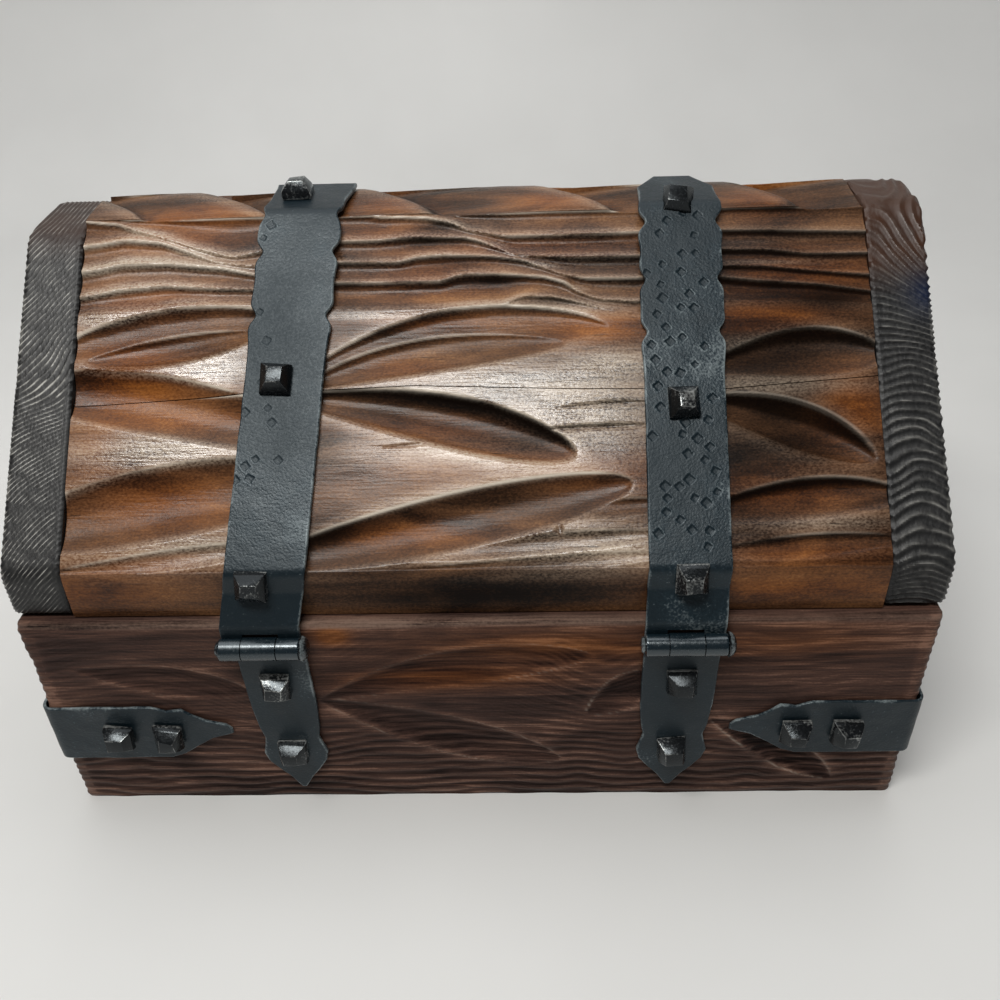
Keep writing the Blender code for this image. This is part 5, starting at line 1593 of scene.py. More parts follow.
@dataclass
class BoardedBase:
    """The base's brushed and carved long boards, its end boards and its bottom.

    Fields:
        palette: the chest's finishes.
        column: distance between the boards' points along them.
        row: distance between their points upwards.
        corner: radius of the long boards' ends.
        rings: growth rings that stand out of the long boards.
        veins: finer growth rings that are only stained.
        frayed: how far from the ends their faces are ragged.
    """

    palette: Palette
    sizes: ChestSizes = SIZES
    column: float = 0.0008
    row: float = 0.0006
    corner: float = 0.0026
    rings: Rings = Rings(pitch=0.0039, wander=0.0042, height=0.00034, seed=31, knots=(
        (-0.045, 0.105, 0.052, 0.020, 0.011), (0.062, 0.105, 0.052, 0.026, 0.006),
        (0.115, 0.105, 0.062, 0.030, -0.007), (-0.100, 0.105, 0.066, 0.030, 0.005)))
    veins: Rings = Rings(pitch=0.0016, wander=0.0070, height=0.0, seed=91, knots=(
        (-0.045, 0.105, 0.052, 0.026, 0.014), (0.062, 0.105, 0.060, 0.030, 0.010),
        (0.118, 0.105, 0.070, 0.030, -0.010), (-0.105, 0.105, 0.066, 0.030, 0.008)))
    frayed: float = 0.004

    def build(self) -> None:
        """Build the base's boards."""
        for face in Face:
            self.long_board(face)
        for end in End:
            self.end_board(end)
        refinish("base_bottom_board", self.palette.base)

    @staticmethod
    def arris_wear(height: Array, top: Array) -> Array:
        """How far a board's outside is worn back near its lower and upper edge."""
        return sum(depth * np.exp(-(away / reach) ** 2)
                   for away, (depth, reach) in ((top, UPPER_WEAR), (height, LOWER_WEAR)))

    def long_board(self, face: Face) -> None:
        """Build the back or front board, whose ends show at the chest's corners.

        Args:
            face: its side.
        """
        sizes = self.sizes
        half = sizes.base_width / 2
        x = np.linspace(-half, half, round(2 * half / self.column) + 1)
        edge = np.array([0.0, 0.00035, 0.0009, 0.0017])
        x = np.concatenate([-half + edge, x[4:-4], half - edge[::-1]])
        z = np.linspace(0.0, sizes.base_height, round(sizes.base_height / self.row) + 1)[:, None]
        grid_x = np.broadcast_to(x, (len(z), len(x)))
        grid_z = np.broadcast_to(z, grid_x.shape)
        r = -face.value * grid_x / MM
        depth = deepest(BASE_CARVING, r, grid_z / MM) * MM
        places = np.stack([face.value * grid_x, np.full(grid_x.shape, sizes.base_depth / 2), grid_z], axis=-1)
        grooves = self.rings.sunk(places) * self.groove_strength(r, grid_z / MM)
        inset = half - np.abs(grid_x)
        rounding = np.where(inset < self.corner, self.corner - np.sqrt(np.maximum(
            self.corner ** 2 - (self.corner - inset) ** 2, 0.0)), 0.0)
        top = sizes.base_height - grid_z
        uneven = 0.0003 * rough_noise(places, (0.060, 1.0, 0.022), 41)
        whole = depth + grooves + rounding + self.arris_wear(grid_z, top) + uneven + 0.0002
        ragged = self.ragged_ends(grid_z, grid_x) * (inset < self.frayed)
        outer = np.stack([grid_x - np.sign(grid_x) * ragged, face.value * (sizes.base_depth / 2 - whole),
                          grid_z], axis=-1)
        inner_y = sizes.base_depth / 2 - sizes.board

        def back(rim: Array) -> Array:
            """Points of the flat inner face."""
            return np.stack([rim[:, 0], np.full(len(rim), face.value * inner_y), rim[:, 2]], axis=-1)

        def fray(ring: Array) -> Array:
            """Brushed end grain on the ends."""
            ends = np.abs(ring[:, 0]) > half - 0.002
            sunk = 0.00016 * (1 - self.rings.ridge(ring + np.array([0.0, 0.0, 0.0007])))
            ring = ring.copy()
            ring[:, 0] -= np.sign(ring[:, 0]) * np.where(ends, sunk, 0.0)
            return ring

        # Raised grain is rubbed; the colour is darker between it and in the carving, and stained along the
        # veins
        crest = blurred(whole, 3) - whole
        raised = np.clip(crest / 0.00010, 0.0, 1.0)
        sunk = np.clip(-crest / 0.00012, 0.0, 1.0)
        carved = np.clip(depth / 0.0022, 0.0, 1.0)
        veins = (1.0 - self.veins.ridge(places)) * (0.55 + 0.45 * rough_noise(places, (0.050, 1.0, 0.020), 93))
        # The upper arris is worn silvery; low down, a painted reflection of the floor pales the raised grain
        strip = smooth_step(1.2 - top / 0.0018 + 0.3 * rough_noise(places, (0.050, 1.0, 0.010), 45))
        low = 1.0 - smooth_step(grid_z / 0.05)
        marks = {
            "worn": raised,
            "hollow": 0.36 * sunk + 0.12 * carved + 0.36 * np.clip(veins, 0.0, 1.0),
            "silver": strip * (1.1 + 0.5 * np.sin(grid_x / 0.045 + 0.8)) + 0.30 * raised * low,
            # Painted glint along the edges of the carving
            "glint": smooth_step((blurred(depth, 1) - depth - 0.00006) / 0.00012) * 0.35,
            "warm": np.clip(patches(BASE_WARMTH, r, grid_z / MM), 0, 1.4),
        }
        node = f"base_{face.name.lower()}_board"
        sketch = panel(outer, back, 14, marks, fray)
        make_piece(node + "_brushed", sketch, self.palette.base, Body.BASE, [node])

    @staticmethod
    def groove_strength(r: Array, s: Array) -> Array:
        """How hard the grain was brushed out: most low down, least on the smooth upper parts."""
        low = 1.0 - smooth_step((s - 24.0) / 22.0)
        return 0.30 + 0.85 * low + 0.25 * np.sin(r / 40.0) * (1 - low)

    def ragged_ends(self, z: Array, x: Array) -> Array:
        """How far the brushed ends fall back, by height.

        Args:
            z: heights.
            x: places along the board.

        Returns:
            The distance at each place.
        """
        places = np.stack([np.sign(x) * self.sizes.base_width / 2, np.full(z.shape, 0.1), z], axis=-1)
        wander = np.clip(rough_noise(places, 0.016, 37, 2), 0.0, 1.0)
        return 0.0003 * (1 - self.rings.ridge(places)) + 0.0016 * wander + 0.0002

    def end_board(self, end: End) -> None:
        """Build an end board of the base, brushed on the outside.

        Args:
            end: its end.
        """
        sizes = self.sizes
        reach = sizes.base_depth / 2 - sizes.board - sizes.seat_gap
        y = np.linspace(-reach, reach, round(2 * reach / self.column) + 1)
        z = np.linspace(0.0, sizes.base_height, round(sizes.base_height / self.row) + 1)[:, None]
        grid_y = np.broadcast_to(y, (len(z), len(y)))
        grid_z = np.broadcast_to(z, grid_y.shape)
        side = end.value
        knots = ((side * 0.145, 0.020, 0.058, 0.030, 0.010), (side * 0.145, -0.050, 0.030, 0.024, -0.006))
        rings = Rings(pitch=0.0042, wander=0.006, height=0.00036, seed=47 + side, knots=knots)
        places = np.stack([np.full(grid_y.shape, side * sizes.base_width / 2), grid_y, grid_z], axis=-1)
        stretched = places * np.array([1.0, 0.35, 1.0])
        top = sizes.base_height - grid_z
        seam = 0.0006 * np.exp(-((reach - np.abs(grid_y)) / 0.0008) ** 2)
        uneven = 0.0004 * rough_noise(places, (1.0, 0.050, 0.025), 43)
        depth = rings.sunk(stretched) + self.arris_wear(grid_z, top) + seam + uneven + 0.0004
        outer = np.stack([side * (sizes.base_width / 2 - depth), grid_y, grid_z], axis=-1)
        inner_x = side * (sizes.base_width / 2 - sizes.board)

        def back(rim: Array) -> Array:
            """Points of the flat inner face."""
            return np.stack([np.full(len(rim), inner_x), rim[:, 1], rim[:, 2]], axis=-1)

        # Paler on the raised rings and along the top arris, darker between the rings
        crest = blurred(depth, 3) - depth
        marks = {
            "worn": np.clip(crest / 0.00010, 0, 1) * 0.4 + np.clip(1 - top / 0.0016, 0, 1) * 0.9,
            "hollow": np.clip(-crest / 0.00012, 0, 1) * 0.45,
            "warm": 0.5 * np.clip(rough_noise(places, 0.04, 51), 0, 1),
        }
        node = f"base_{end.name.lower()}_end_board"
        make_piece(node + "_brushed", panel(outer, back, 2, marks), self.palette.base_end, Body.BASE,
                   [node])


PUNCH_RIM = 0.00004  # height of the rim that a punch throws up
PUNCH_EDGE = 0.00025  # width of a punch mark's slanting edges


@dataclass(frozen=True)
class Punch:
    """A small square punch mark on a strap.

    Fields:
        along, across: its middle.
        turn: how far it is turned, in degrees.
        half: half of its width.
        depth: how deep it is.
    """

    along: float
    across: float
    turn: float
    half: float = 0.00125
    depth: float = 0.00034


@dataclass
class Plate:
    """A forged strap or plate: a bent line, its width, and what the hammer left on it.

    Fields:
        line: points of its middle line in space.
        out: the way out of its shown side at each of those points.
        over: the way across it.
        edges: gives its left and right edge at distances along the line.
        splits: shares of its width that its columns keep a line at.
        open_cells: says which cells between stations and columns are cut away.
        punches: its punch marks.
        thickness: its thickness.
        rounding: how far its edges are rounded.
        hammer: how uneven its face is.
        wobble: how uneven its edges are.
        rolled: how much of its line, from the start, is rolled into glossy knuckles.
        paler_by: painted sheen: how much paler its whole face is made.
        seed: picks its unevenness.
        columns: how many columns of points it has across.
    """

    line: Array
    out: Array
    over: Array
    edges: Callable[[Array], tuple[Array, Array]]
    splits: tuple[float, float] = (1 / 3, 2 / 3)
    open_cells: Optional[Callable[[Array, Array], Array]] = None
    punches: tuple[Punch, ...] = ()
    thickness: float = SIZES.plate
    rounding: float = 0.00045
    hammer: float = 0.00010
    wobble: float = 0.00018
    rolled: float = 0.0
    paler_by: float = 0.0
    seed: int = 3
    columns: int = 84

    def sketch(self) -> Sketch:
        """Shape the plate.

        Returns:
            A closed sketch of it.
        """
        line = self.line
        marks_along = distances(line)
        first, last = self.splits
        edge = np.array([0.0, 0.004, 0.010, 0.020])
        inner = [np.linspace(low, high, max(3, round(self.columns * (high - low))))
                 for low, high in ((0.0, first), (first, last), (last, 1.0))]
        share = np.unique(np.round(np.concatenate([edge, 1 - edge] + inner), 6))
        low, high = self.edges(marks_along)
        jitter = np.column_stack([marks_along, np.zeros(len(marks_along)), np.full(len(marks_along), 0.5)])
        low = low + self.wobble * rough_noise(jitter, 0.006, self.seed + 1)
        high = high + self.wobble * rough_noise(jitter, 0.006, self.seed + 2)
        across = low[:, None] + (high - low)[:, None] * share
        along = np.broadcast_to(marks_along[:, None], across.shape)
        from_edge = np.minimum(across - low[:, None], high[:, None] - across)
        from_edge = np.minimum(from_edge, np.minimum(along, marks_along[-1] - along) + 0.00001)
        sink = self.rounded(from_edge)
        places = np.stack([along, across, np.zeros(along.shape)], axis=-1)
        rough = self.hammer * rough_noise(places, 0.0060, self.seed, 3)
        pits, rims = self.punched(along, across)
        middle = line[:, None, :] + across[..., None] * self.over
        out = self.out[:, None, :]
        top = middle + out * (self.thickness / 2 - sink + rough - pits + rims - 0.00005)[..., None]
        bottom = middle - out * (self.thickness / 2 - sink * 0.5)[..., None]
        cells = np.ones((along.shape[0] - 1, along.shape[1] - 1), bool)
        if self.open_cells is not None:
            mid_along = (marks_along[1:] + marks_along[:-1]) / 2
            mid_share = (share[1:] + share[:-1]) / 2
            cells &= ~self.open_cells(mid_along[:, None], mid_share[None, :])
        worn = np.clip(1.0 - from_edge / 0.0009, 0.0, 1.0)
        worn = worn * np.clip(0.75 + 0.9 * rough_noise(places, 0.004, self.seed + 5), 0.1, 1.0)
        # The punches' rims are paler and their pits darker, and paler_by adds painted sheen over the whole face
        worn = np.maximum(worn, 0.3 * rims / PUNCH_RIM) - 0.5 * pits / 0.0003 + self.paler_by
        return self.shell(top, bottom, cells, {"worn": worn, "glossy": (along < self.rolled) * 1.0})

    def rounded(self, from_edge: Array) -> Array:
        """How far the face falls away near an edge."""
        near = np.clip(1.0 - from_edge / self.rounding, 0.0, 1.0)
        return self.rounding * (1.0 - np.sqrt(np.maximum(1.0 - near ** 2, 0.0)))

    def punched(self, along: Array, across: Array) -> tuple[Array, Array]:
        """What the punch left.

        Args:
            along: places along the plate.
            across: places across it.

        Returns:
            Depth of the punch marks and height of the rims round them.
        """
        pits = np.zeros(along.shape)
        rims = np.zeros(along.shape)
        for punch in self.punches:
            turn = math.radians(punch.turn)
            u = (along - punch.along) * math.cos(turn) + (across - punch.across) * math.sin(turn)
            v = (across - punch.across) * math.cos(turn) - (along - punch.along) * math.sin(turn)
            reach = np.maximum(np.abs(u), np.abs(v))
            pits = np.maximum(pits, punch.depth * np.clip((punch.half - reach) / PUNCH_EDGE, 0.0, 1.0))
            rims = np.maximum(rims, PUNCH_RIM * np.exp(-((reach - punch.half - 0.00020) / PUNCH_EDGE) ** 2))
        return pits, rims

    @staticmethod
    def shell(top: Array, bottom: Array, cells: Array, marks: Marks) -> Sketch:
        """Join a top and a bottom grid into one closed skin.

        Args:
            top: points of the shown face.
            bottom: points of the hidden face.
            cells: which cells of the grids are there.
            marks: painted marks of both faces, as grids.

        Returns:
            The skin.
        """
        rows, columns = top.shape[:2]
        count = rows * columns
        index = np.arange(count).reshape(rows, columns)
        corners = np.stack([index[:-1, :-1], index[:-1, 1:], index[1:, 1:], index[1:, :-1]], axis=-1)[cells]
        faces = [tuple(quad) for quad in corners.tolist()]
        faces += [tuple(k + count for k in quad[::-1]) for quad in corners.tolist()]
        padded = np.pad(cells, 1)
        for i, j in np.argwhere(cells):
            a, b = index[i, j], index[i, j + 1]
            c, d = index[i + 1, j + 1], index[i + 1, j]
            for near, (p, q) in ((padded[i, j + 1], (a, b)), (padded[i + 2, j + 1], (c, d)),
                                 (padded[i + 1, j + 2], (b, c)), (padded[i + 1, j], (d, a))):
                if not near:
                    faces.append((int(q), int(p), int(p) + count, int(q) + count))
        used = np.unique(np.concatenate([np.array(face) for face in faces]))
        renumber = np.full(2 * count, -1)
        renumber[used] = np.arange(len(used))
        points = np.concatenate([top.reshape(-1, 3), bottom.reshape(-1, 3)])[used]
        painted = {key: np.tile(values.reshape(-1), 2)[used] for key, values in marks.items()}
        return Sketch(points, [tuple(renumber[list(face)].tolist()) for face in faces], painted)


def even_line(points: Sequence[tuple[float, float]], step: float = IRON_STEP) -> Array:
    """A line resampled evenly.

    Args:
        points: its corners in a plane.
        step: distance between the new points.

    Returns:
        The new points.
    """
    corners = np.array(points, float)
    marks = distances(corners)
    even = np.linspace(0.0, marks[-1], max(2, round(marks[-1] / step)) + 1)
    return np.stack([np.interp(even, marks, corners[:, k]) for k in (0, 1)], axis=-1)


def arc(centre: tuple[float, float], radius: float, start: float, stop: float,
        steps: int = 48) -> list[tuple[float, float]]:
    """Points on an arc, its angles in degrees from +Y towards +Z."""
    angles = np.radians(np.linspace(start, stop, steps + 1))
    return [(centre[0] + radius * math.cos(a), centre[1] + radius * math.sin(a)) for a in angles]


def eased_corners(corners: Sequence[tuple[float, float]], radius: float) -> list[Array]:
    """Ease each inner corner of a line into a small bend.

    Args:
        corners: the line's corners.
        radius: of the bends, where there is room.

    Returns:
        Points of the eased line.
    """
    line = [np.array(corners[0])]
    for ends in zip(corners, corners[1:], corners[2:]):
        before, corner, after = (np.array(point) for point in ends)
        run_in, run_out = (float(np.linalg.norm(other - corner)) for other in (before, after))
        way_in, way_out = (corner - before) / run_in, (after - corner) / run_out
        turn = math.acos(float(np.clip(way_in.dot(way_out), -1.0, 1.0)))
        reach = min(radius * math.tan(turn / 2), 0.45 * run_in, 0.45 * run_out)
        line += bend(corner - way_in * reach, corner, corner + way_out * reach)
    return line + [np.array(corners[-1])]


def rolled_line(roll: Sequence[tuple[float, float]],
                rest: Sequence[tuple[float, float]]) -> tuple[Array, float, float]:
    """A rolled knuckle and the run after it, as stations along a plate's middle.

    Args:
        roll: points (y, z) of the roll.
        rest: corners of the run after it.

    Returns:
        The stations, where the roll ends and where the run ends.
    """
    rolled = even_line(roll)
    line = np.concatenate([rolled, even_line(rest)[1:]])
    return line, float(distances(rolled)[-1]), float(distances(line)[-1])


def ways_out(line: Array, flip: float) -> Array:
    """The way square to a plane line at each of its points; flip picks the side."""
    ahead = np.gradient(line, axis=0)
    ahead /= np.linalg.norm(ahead, axis=1)[:, None]
    return flip * np.stack([ahead[:, 1], -ahead[:, 0]], axis=-1)


def in_yz(points: Array, x: float | Array = 0.0) -> Array:
    """Points (y, z) as points in space."""
    return np.column_stack([np.broadcast_to(x, len(points)), points])


def slope_point(run: float, lift: float) -> tuple[float, float]:
    """Point (y, z) at a distance up the back slope and lifted off it."""
    cosine, sine = math.cos(SIZES.slope_angle), math.sin(SIZES.slope_angle)
    return (SIZES.lid_half_depth - run * cosine + lift * sine,
            SIZES.arris_height + run * sine + lift * cosine)


@dataclass(frozen=True)
class NailHead:
    """A forged nail with a chunky head of uneven facets.

    Fields:
        node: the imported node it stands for.
        place: the middle of its head on the strap.
        out: the way it stands out.
        up: the way up its face.
        body: the body that it moves with.
        turn: how far it is turned about its own axis, in degrees.
        size: width of the head.
        height: how far it stands out.
        top: width of its top facet.
    """

    node: str
    place: tuple[float, float, float]
    out: tuple[float, float, float]
    up: tuple[float, float, float]
    body: Body
    turn: float = 0.0
    size: float = 0.0100
    height: float = 0.0056
    top: float = 0.0050

    def build(self, material: bpy.types.Material) -> None:
        """Build the nail's head and shank.

        Args:
            material: its finish.
        """
        rng = np.random.default_rng(sum(ord(letter) * k for k, letter in enumerate(self.node)))
        bm = bmesh.new()
        blunt = rng.uniform(0.0, 1.0)
        top = self.top * (0.86 + 0.34 * blunt)
        shoulder = self.size * (0.93 - 0.04 * blunt)
        # Width and height of its outline, from the shank's tip to the top facet
        rings = ((0.0026, -0.0090), (0.0030, -0.0003), (self.size * 0.96, -0.0002), (self.size, 0.0008),
                 (shoulder, 0.0018 + 0.0008 * blunt), (top, self.height))
        loops: list[list[bmesh.types.BMVert]] = []
        skew = rng.uniform(-0.0007, 0.0007, 2)
        for level, (width, lift) in enumerate(rings):
            loop = []
            for k in range(4):
                angle = math.radians(90.0 * k + 45.0)
                x, y = 0.5 * width * math.sqrt(2.0) * np.array([math.cos(angle), math.sin(angle)])
                wobble = rng.uniform(-1.0, 1.0, 3) * (0.00045 if level > 3 else 0.00018 if level > 1 else 0.0)
                share = max(0.0, lift) / self.height
                loop.append(bm.verts.new((x + skew[0] * share + wobble[0], y + skew[1] * share + wobble[1],
                                          lift + wobble[2])))
            loops.append(loop)
        for below, above in zip(loops, loops[1:]):
            for k in range(4):
                bm.faces.new((below[k], below[(k + 1) % 4], above[(k + 1) % 4], above[k]))
        bm.faces.new(loops[0][::-1])
        bm.faces.new(loops[-1])
        bmesh.ops.recalc_face_normals(bm, faces=bm.faces[:])
        head_edges = [edge for edge in bm.edges if all(vert.co.z > -0.0001 for vert in edge.verts)
                      and edge.calc_face_angle(0.0) > 0.25]
        bmesh.ops.bevel(bm, geom=head_edges, offset=0.00036, segments=2, affect="EDGES", profile=0.6)
        out = Vector(self.out).normalized()
        up = Vector(self.up).normalized()
        right = up.cross(out)
        place = Matrix.Translation(self.place) @ Matrix((right, up, out)).transposed().to_4x4()
        bmesh.ops.transform(bm, matrix=place @ Matrix.Rotation(math.radians(self.turn), 4, "Z"), verts=bm.verts)
        bm.verts.ensure_lookup_table()
        points = np.array([vert.co[:] for vert in bm.verts])
        faces = [tuple(vert.index for vert in face.verts) for face in bm.faces]
        sharp = np.array([max((edge.calc_face_angle(0.0) for edge in vert.link_edges), default=0.0)
                          for vert in bm.verts])
        bm.free()
        lift = (points - np.array(self.place)) @ np.array(out)
        # Painted highlight: the top facet of a nail that faces upwards is paler
        facet = (0.40 if self.out[2] > 0.2 else 0.0) * (lift > self.height * 0.86)
        worn = np.clip((sharp - 0.15) * 1.6, 0.0, 0.9) * rng.uniform(0.5, 1.0, len(points))
        marks = {"worn": np.maximum(worn, facet)}
        make_piece(self.node + "_forged", Sketch(points, faces, marks), material, self.body,
                   [self.node], 24.0)


@dataclass(frozen=True)
class TurnedPin:
    """A hinge pin with a domed head at one end and a riveted one at the other.

    Fields:
        node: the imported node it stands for.
        centre: its middle.
        half: half of the length between its heads.
        head_way: the end of X that its domed head points to.
        body: the body that it moves with.
        around: points round its axis.
    """

    node: str
    centre: tuple[float, float, float]
    half: float
    head_way: int
    body: Body
    around: int = 36

    def build(self, material: bpy.types.Material) -> None:
        """Build the pin by turning its profile round its axis.

        Args:
            material: its finish.
        """
        # Radius and height of the domed head's outline, from its middle to the shank
        profile = [(0.0004, 0.0026), (0.0016, 0.00255), (0.0028, 0.0021), (0.0036, 0.0013), (0.0040, 0.0006),
                   (0.0041, 0.0002), (0.0039, 0.0), (0.00185, 0.0)]
        rings = [(radius, self.half + height) for radius, height in profile]
        rings += [(0.00185, -self.half), (0.0026, -self.half), (0.0027, -self.half - 0.0003),
                  (0.0022, -self.half - 0.0010), (0.0009, -self.half - 0.0013)]
        angles = np.linspace(0.0, 2.0 * np.pi, self.around, endpoint=False)
        loops = []
        for radius, height in rings:
            dented = radius * (1.0 + 0.03 * np.sin(angles * 3 + height * 900.0))
            loops.append(np.column_stack([np.full(self.around, height * self.head_way),
                                          dented * np.cos(angles), dented * np.sin(angles)]))
        points = (np.array(loops) + np.array(self.centre)).reshape(-1, 3)
        rubbed = np.array([0.2, 0.2, 0.3, 0.7, 0.8, 0.4, 0, 0, 0, 0.3, 0.7, 0.7, 0.2])
        sketch = Sketch(points, tube_faces(len(rings), self.around), {"worn": np.repeat(rubbed, self.around)})
        make_piece(self.node + "_turned", sketch, material, self.body, [self.node])


@dataclass
class StrapHinge:
    """One hinge of the lid: its long strap, base leaf and pin.

    Fields:
        palette: the chest's finishes.
        end: the end that it is nearer to.
        hinge_x: middle of its knuckles.
        centres: how far the strap strays sideways, by millimetres up the slope.
        notches: where both its edges are notched and how deeply, in millimetres up the slope.
        punches: its punch marks, counted from the lower arris.
        leaf_lean: how far the base leaf's tip leans sideways.
        leaf_width: width of the base leaf against the strap's.
        squared: whether the strap ends square, has no painted sheen over its face and is punched less.
        knuckle: width of an outer knuckle.
        bend_radius: radius of the strap's bends.
        notch_reach, bulge_reach: how far a notch and the bulges beside it run, in millimetres.
    """

    palette: Palette
    end: End
    hinge_x: float
    centres: tuple[tuple[float, float], ...]
    notches: tuple[tuple[float, float], ...]
    punches: tuple[Punch, ...]
    leaf_lean: float
    leaf_width: float
    squared: bool
    sizes: ChestSizes = SIZES
    knuckle: float = 0.0070
    bend_radius: float = 0.0042
    notch_reach: float = 2.6
    bulge_reach: float = 8.0

    @property
    def word(self) -> str:
        """The end's name in node names."""
        return self.end.name.lower()

    def build(self) -> None:
        """Build the hinge's irons."""
        self.lid_strap()
        self.base_leaf()
        y, z = self.sizes.hinge_axis
        TurnedPin(self.word + "_hinge_pin", (self.hinge_x, y, z), self.sizes.strap_width / 2 + 0.0003, -1,
                  Body.BASE).build(self.palette.barrel)

    def lid_strap(self) -> None:
        """Build the long strap from its knuckles over the slope to the ridge."""
        sizes = self.sizes
        axis = sizes.hinge_axis
        lift = sizes.strap_lift
        ledge = sizes.base_height + sizes.ledge_clearance + sizes.plate / 2
        upright_y = sizes.lid_half_depth + lift
        arris = slope_point(-lift * math.tan((math.pi / 2 - sizes.slope_angle) / 2), lift)
        ridge = slope_point(sizes.slope_length + lift * math.tan(sizes.slope_angle / 2), lift)
        end = (-sizes.ridge_half + 0.001, sizes.ridge_height + lift)
        roll_y = axis[0] - sizes.roll_radius
        run = eased_corners([(roll_y, axis[1]), (roll_y, ledge - 0.0004), (upright_y, ledge + 0.0100),
                             (upright_y, arris[1]), ridge, end], self.bend_radius)
        line, roll_end, length = rolled_line(arc(axis, sizes.roll_radius, 114.0, -180.0), run)
        slot_end = roll_end + sizes.barrel_radius + sizes.seat_gap
        arris_at = length - sizes.slope_length - sizes.ridge_width + 0.001
        half = sizes.strap_width / 2
        share = self.knuckle / sizes.strap_width

        def edges(along: Array) -> tuple[Array, Array]:
            """Edges of the strap.

            Args:
                along: distances along it.

            Returns:
                Where its left and its right edge lie.
            """
            s = (along - arris_at) / MM
            centre = self.hinge_x + np.interp(s, [-20.0] + [k for k, _ in self.centres],
                                              [0.0] + [v for _, v in self.centres]) * MM
            width = np.full(s.shape, half)
            for place, deep in self.notches:
                bite = deep * MM * np.exp(-((s - place) / self.notch_reach) ** 2)
                bulge = 0.5 * deep * MM * np.exp(-((s - place) / self.bulge_reach) ** 2)
                width -= bite - bulge
            tip = (length - along) / MM
            if self.squared:
                width = width + 0.0012 * np.clip(1 - tip / 16.0, 0, 1)
            else:
                width = width - 0.62 * np.clip(10.5 - tip, 0.0, 12.0) * MM
            return centre - width, centre + width

        def slot(along: Array, place: Array) -> Array:
            """The gap that the middle knuckle takes."""
            return (along < slot_end) & (place > share) & (place < 1 - share)

        punches = tuple(Punch(arris_at + p.along, self.hinge_x + p.across, p.turn, p.half,
                              p.depth * (0.45 if self.squared else 1.0)) for p in self.punches)
        # The strap that is not squared gets painted sheen over its whole face
        plate = Plate(in_yz(line), in_yz(ways_out(line, 1.0)), np.array([1.0, 0.0, 0.0]), edges,
                      (share, 1 - share), slot, punches, rolled=roll_end, paler_by=0.0 if self.squared else 0.19,
                      seed=3 + self.end.value)
        make_piece(self.word + "_lid_strap_forged", plate.sketch(), self.palette.strap, Body.LID,
                   [self.word + "_lid_strap"])

    def base_leaf(self) -> None:
        """Build the short leaf on the base with its lobe and pointed tip."""
        sizes = self.sizes
        axis = sizes.hinge_axis
        length = axis[1] - 0.008
        roll_y = axis[0] - sizes.roll_radius
        line, roll_end, total = rolled_line(arc(axis, sizes.roll_radius, -95.0, 180.0),
                                            [(roll_y, axis[1]), (roll_y, axis[1] - length)])
        shoulder = roll_end + sizes.barrel_radius + sizes.seat_gap
        half = sizes.strap_width / 2
        profile = np.array([(0.0, 0.97), (0.42, 0.95), (0.56, 0.88), (0.63, 0.80), (0.68, 0.86), (0.74, 0.95),
                            (0.80, 0.86), (0.86, 0.62), (0.92, 0.34), (0.96, 0.20), (1.0, 0.06)])

        def edges(along: Array) -> tuple[Array, Array]:
            """Edges of the leaf.

            Args:
                along: distances along it.

            Returns:
                Where its left and its right edge lie.
            """
            share = np.clip((along - roll_end) / length, 0.0, 1.0)
            width = half * np.interp(share, profile[:, 0], profile[:, 1])
            width = np.where(along < shoulder, half, width * self.leaf_width)
            lean = np.clip((along - shoulder) / (total - shoulder), 0, 1)
            centre = self.hinge_x + self.leaf_lean * np.where(along < shoulder, 0.0, 0.55 + 0.55 * lean)
            return centre - width, centre + width

        share = (self.knuckle + sizes.seat_gap) / sizes.strap_width

        def slot(along: Array, place: Array) -> Array:
            """The gaps that the outer knuckles take."""
            return (along < shoulder) & ((place < share) | (place > 1 - share))

        plate = Plate(in_yz(line), in_yz(ways_out(line, -1.0)), np.array([1.0, 0.0, 0.0]), edges,
                      (share, 1 - share), slot, rolled=roll_end, seed=13 + self.end.value, hammer=0.00016)
        make_piece(self.word + "_base_leaf_forged", plate.sketch(), self.palette.strap, Body.BASE,
                   [self.word + "_base_leaf"])


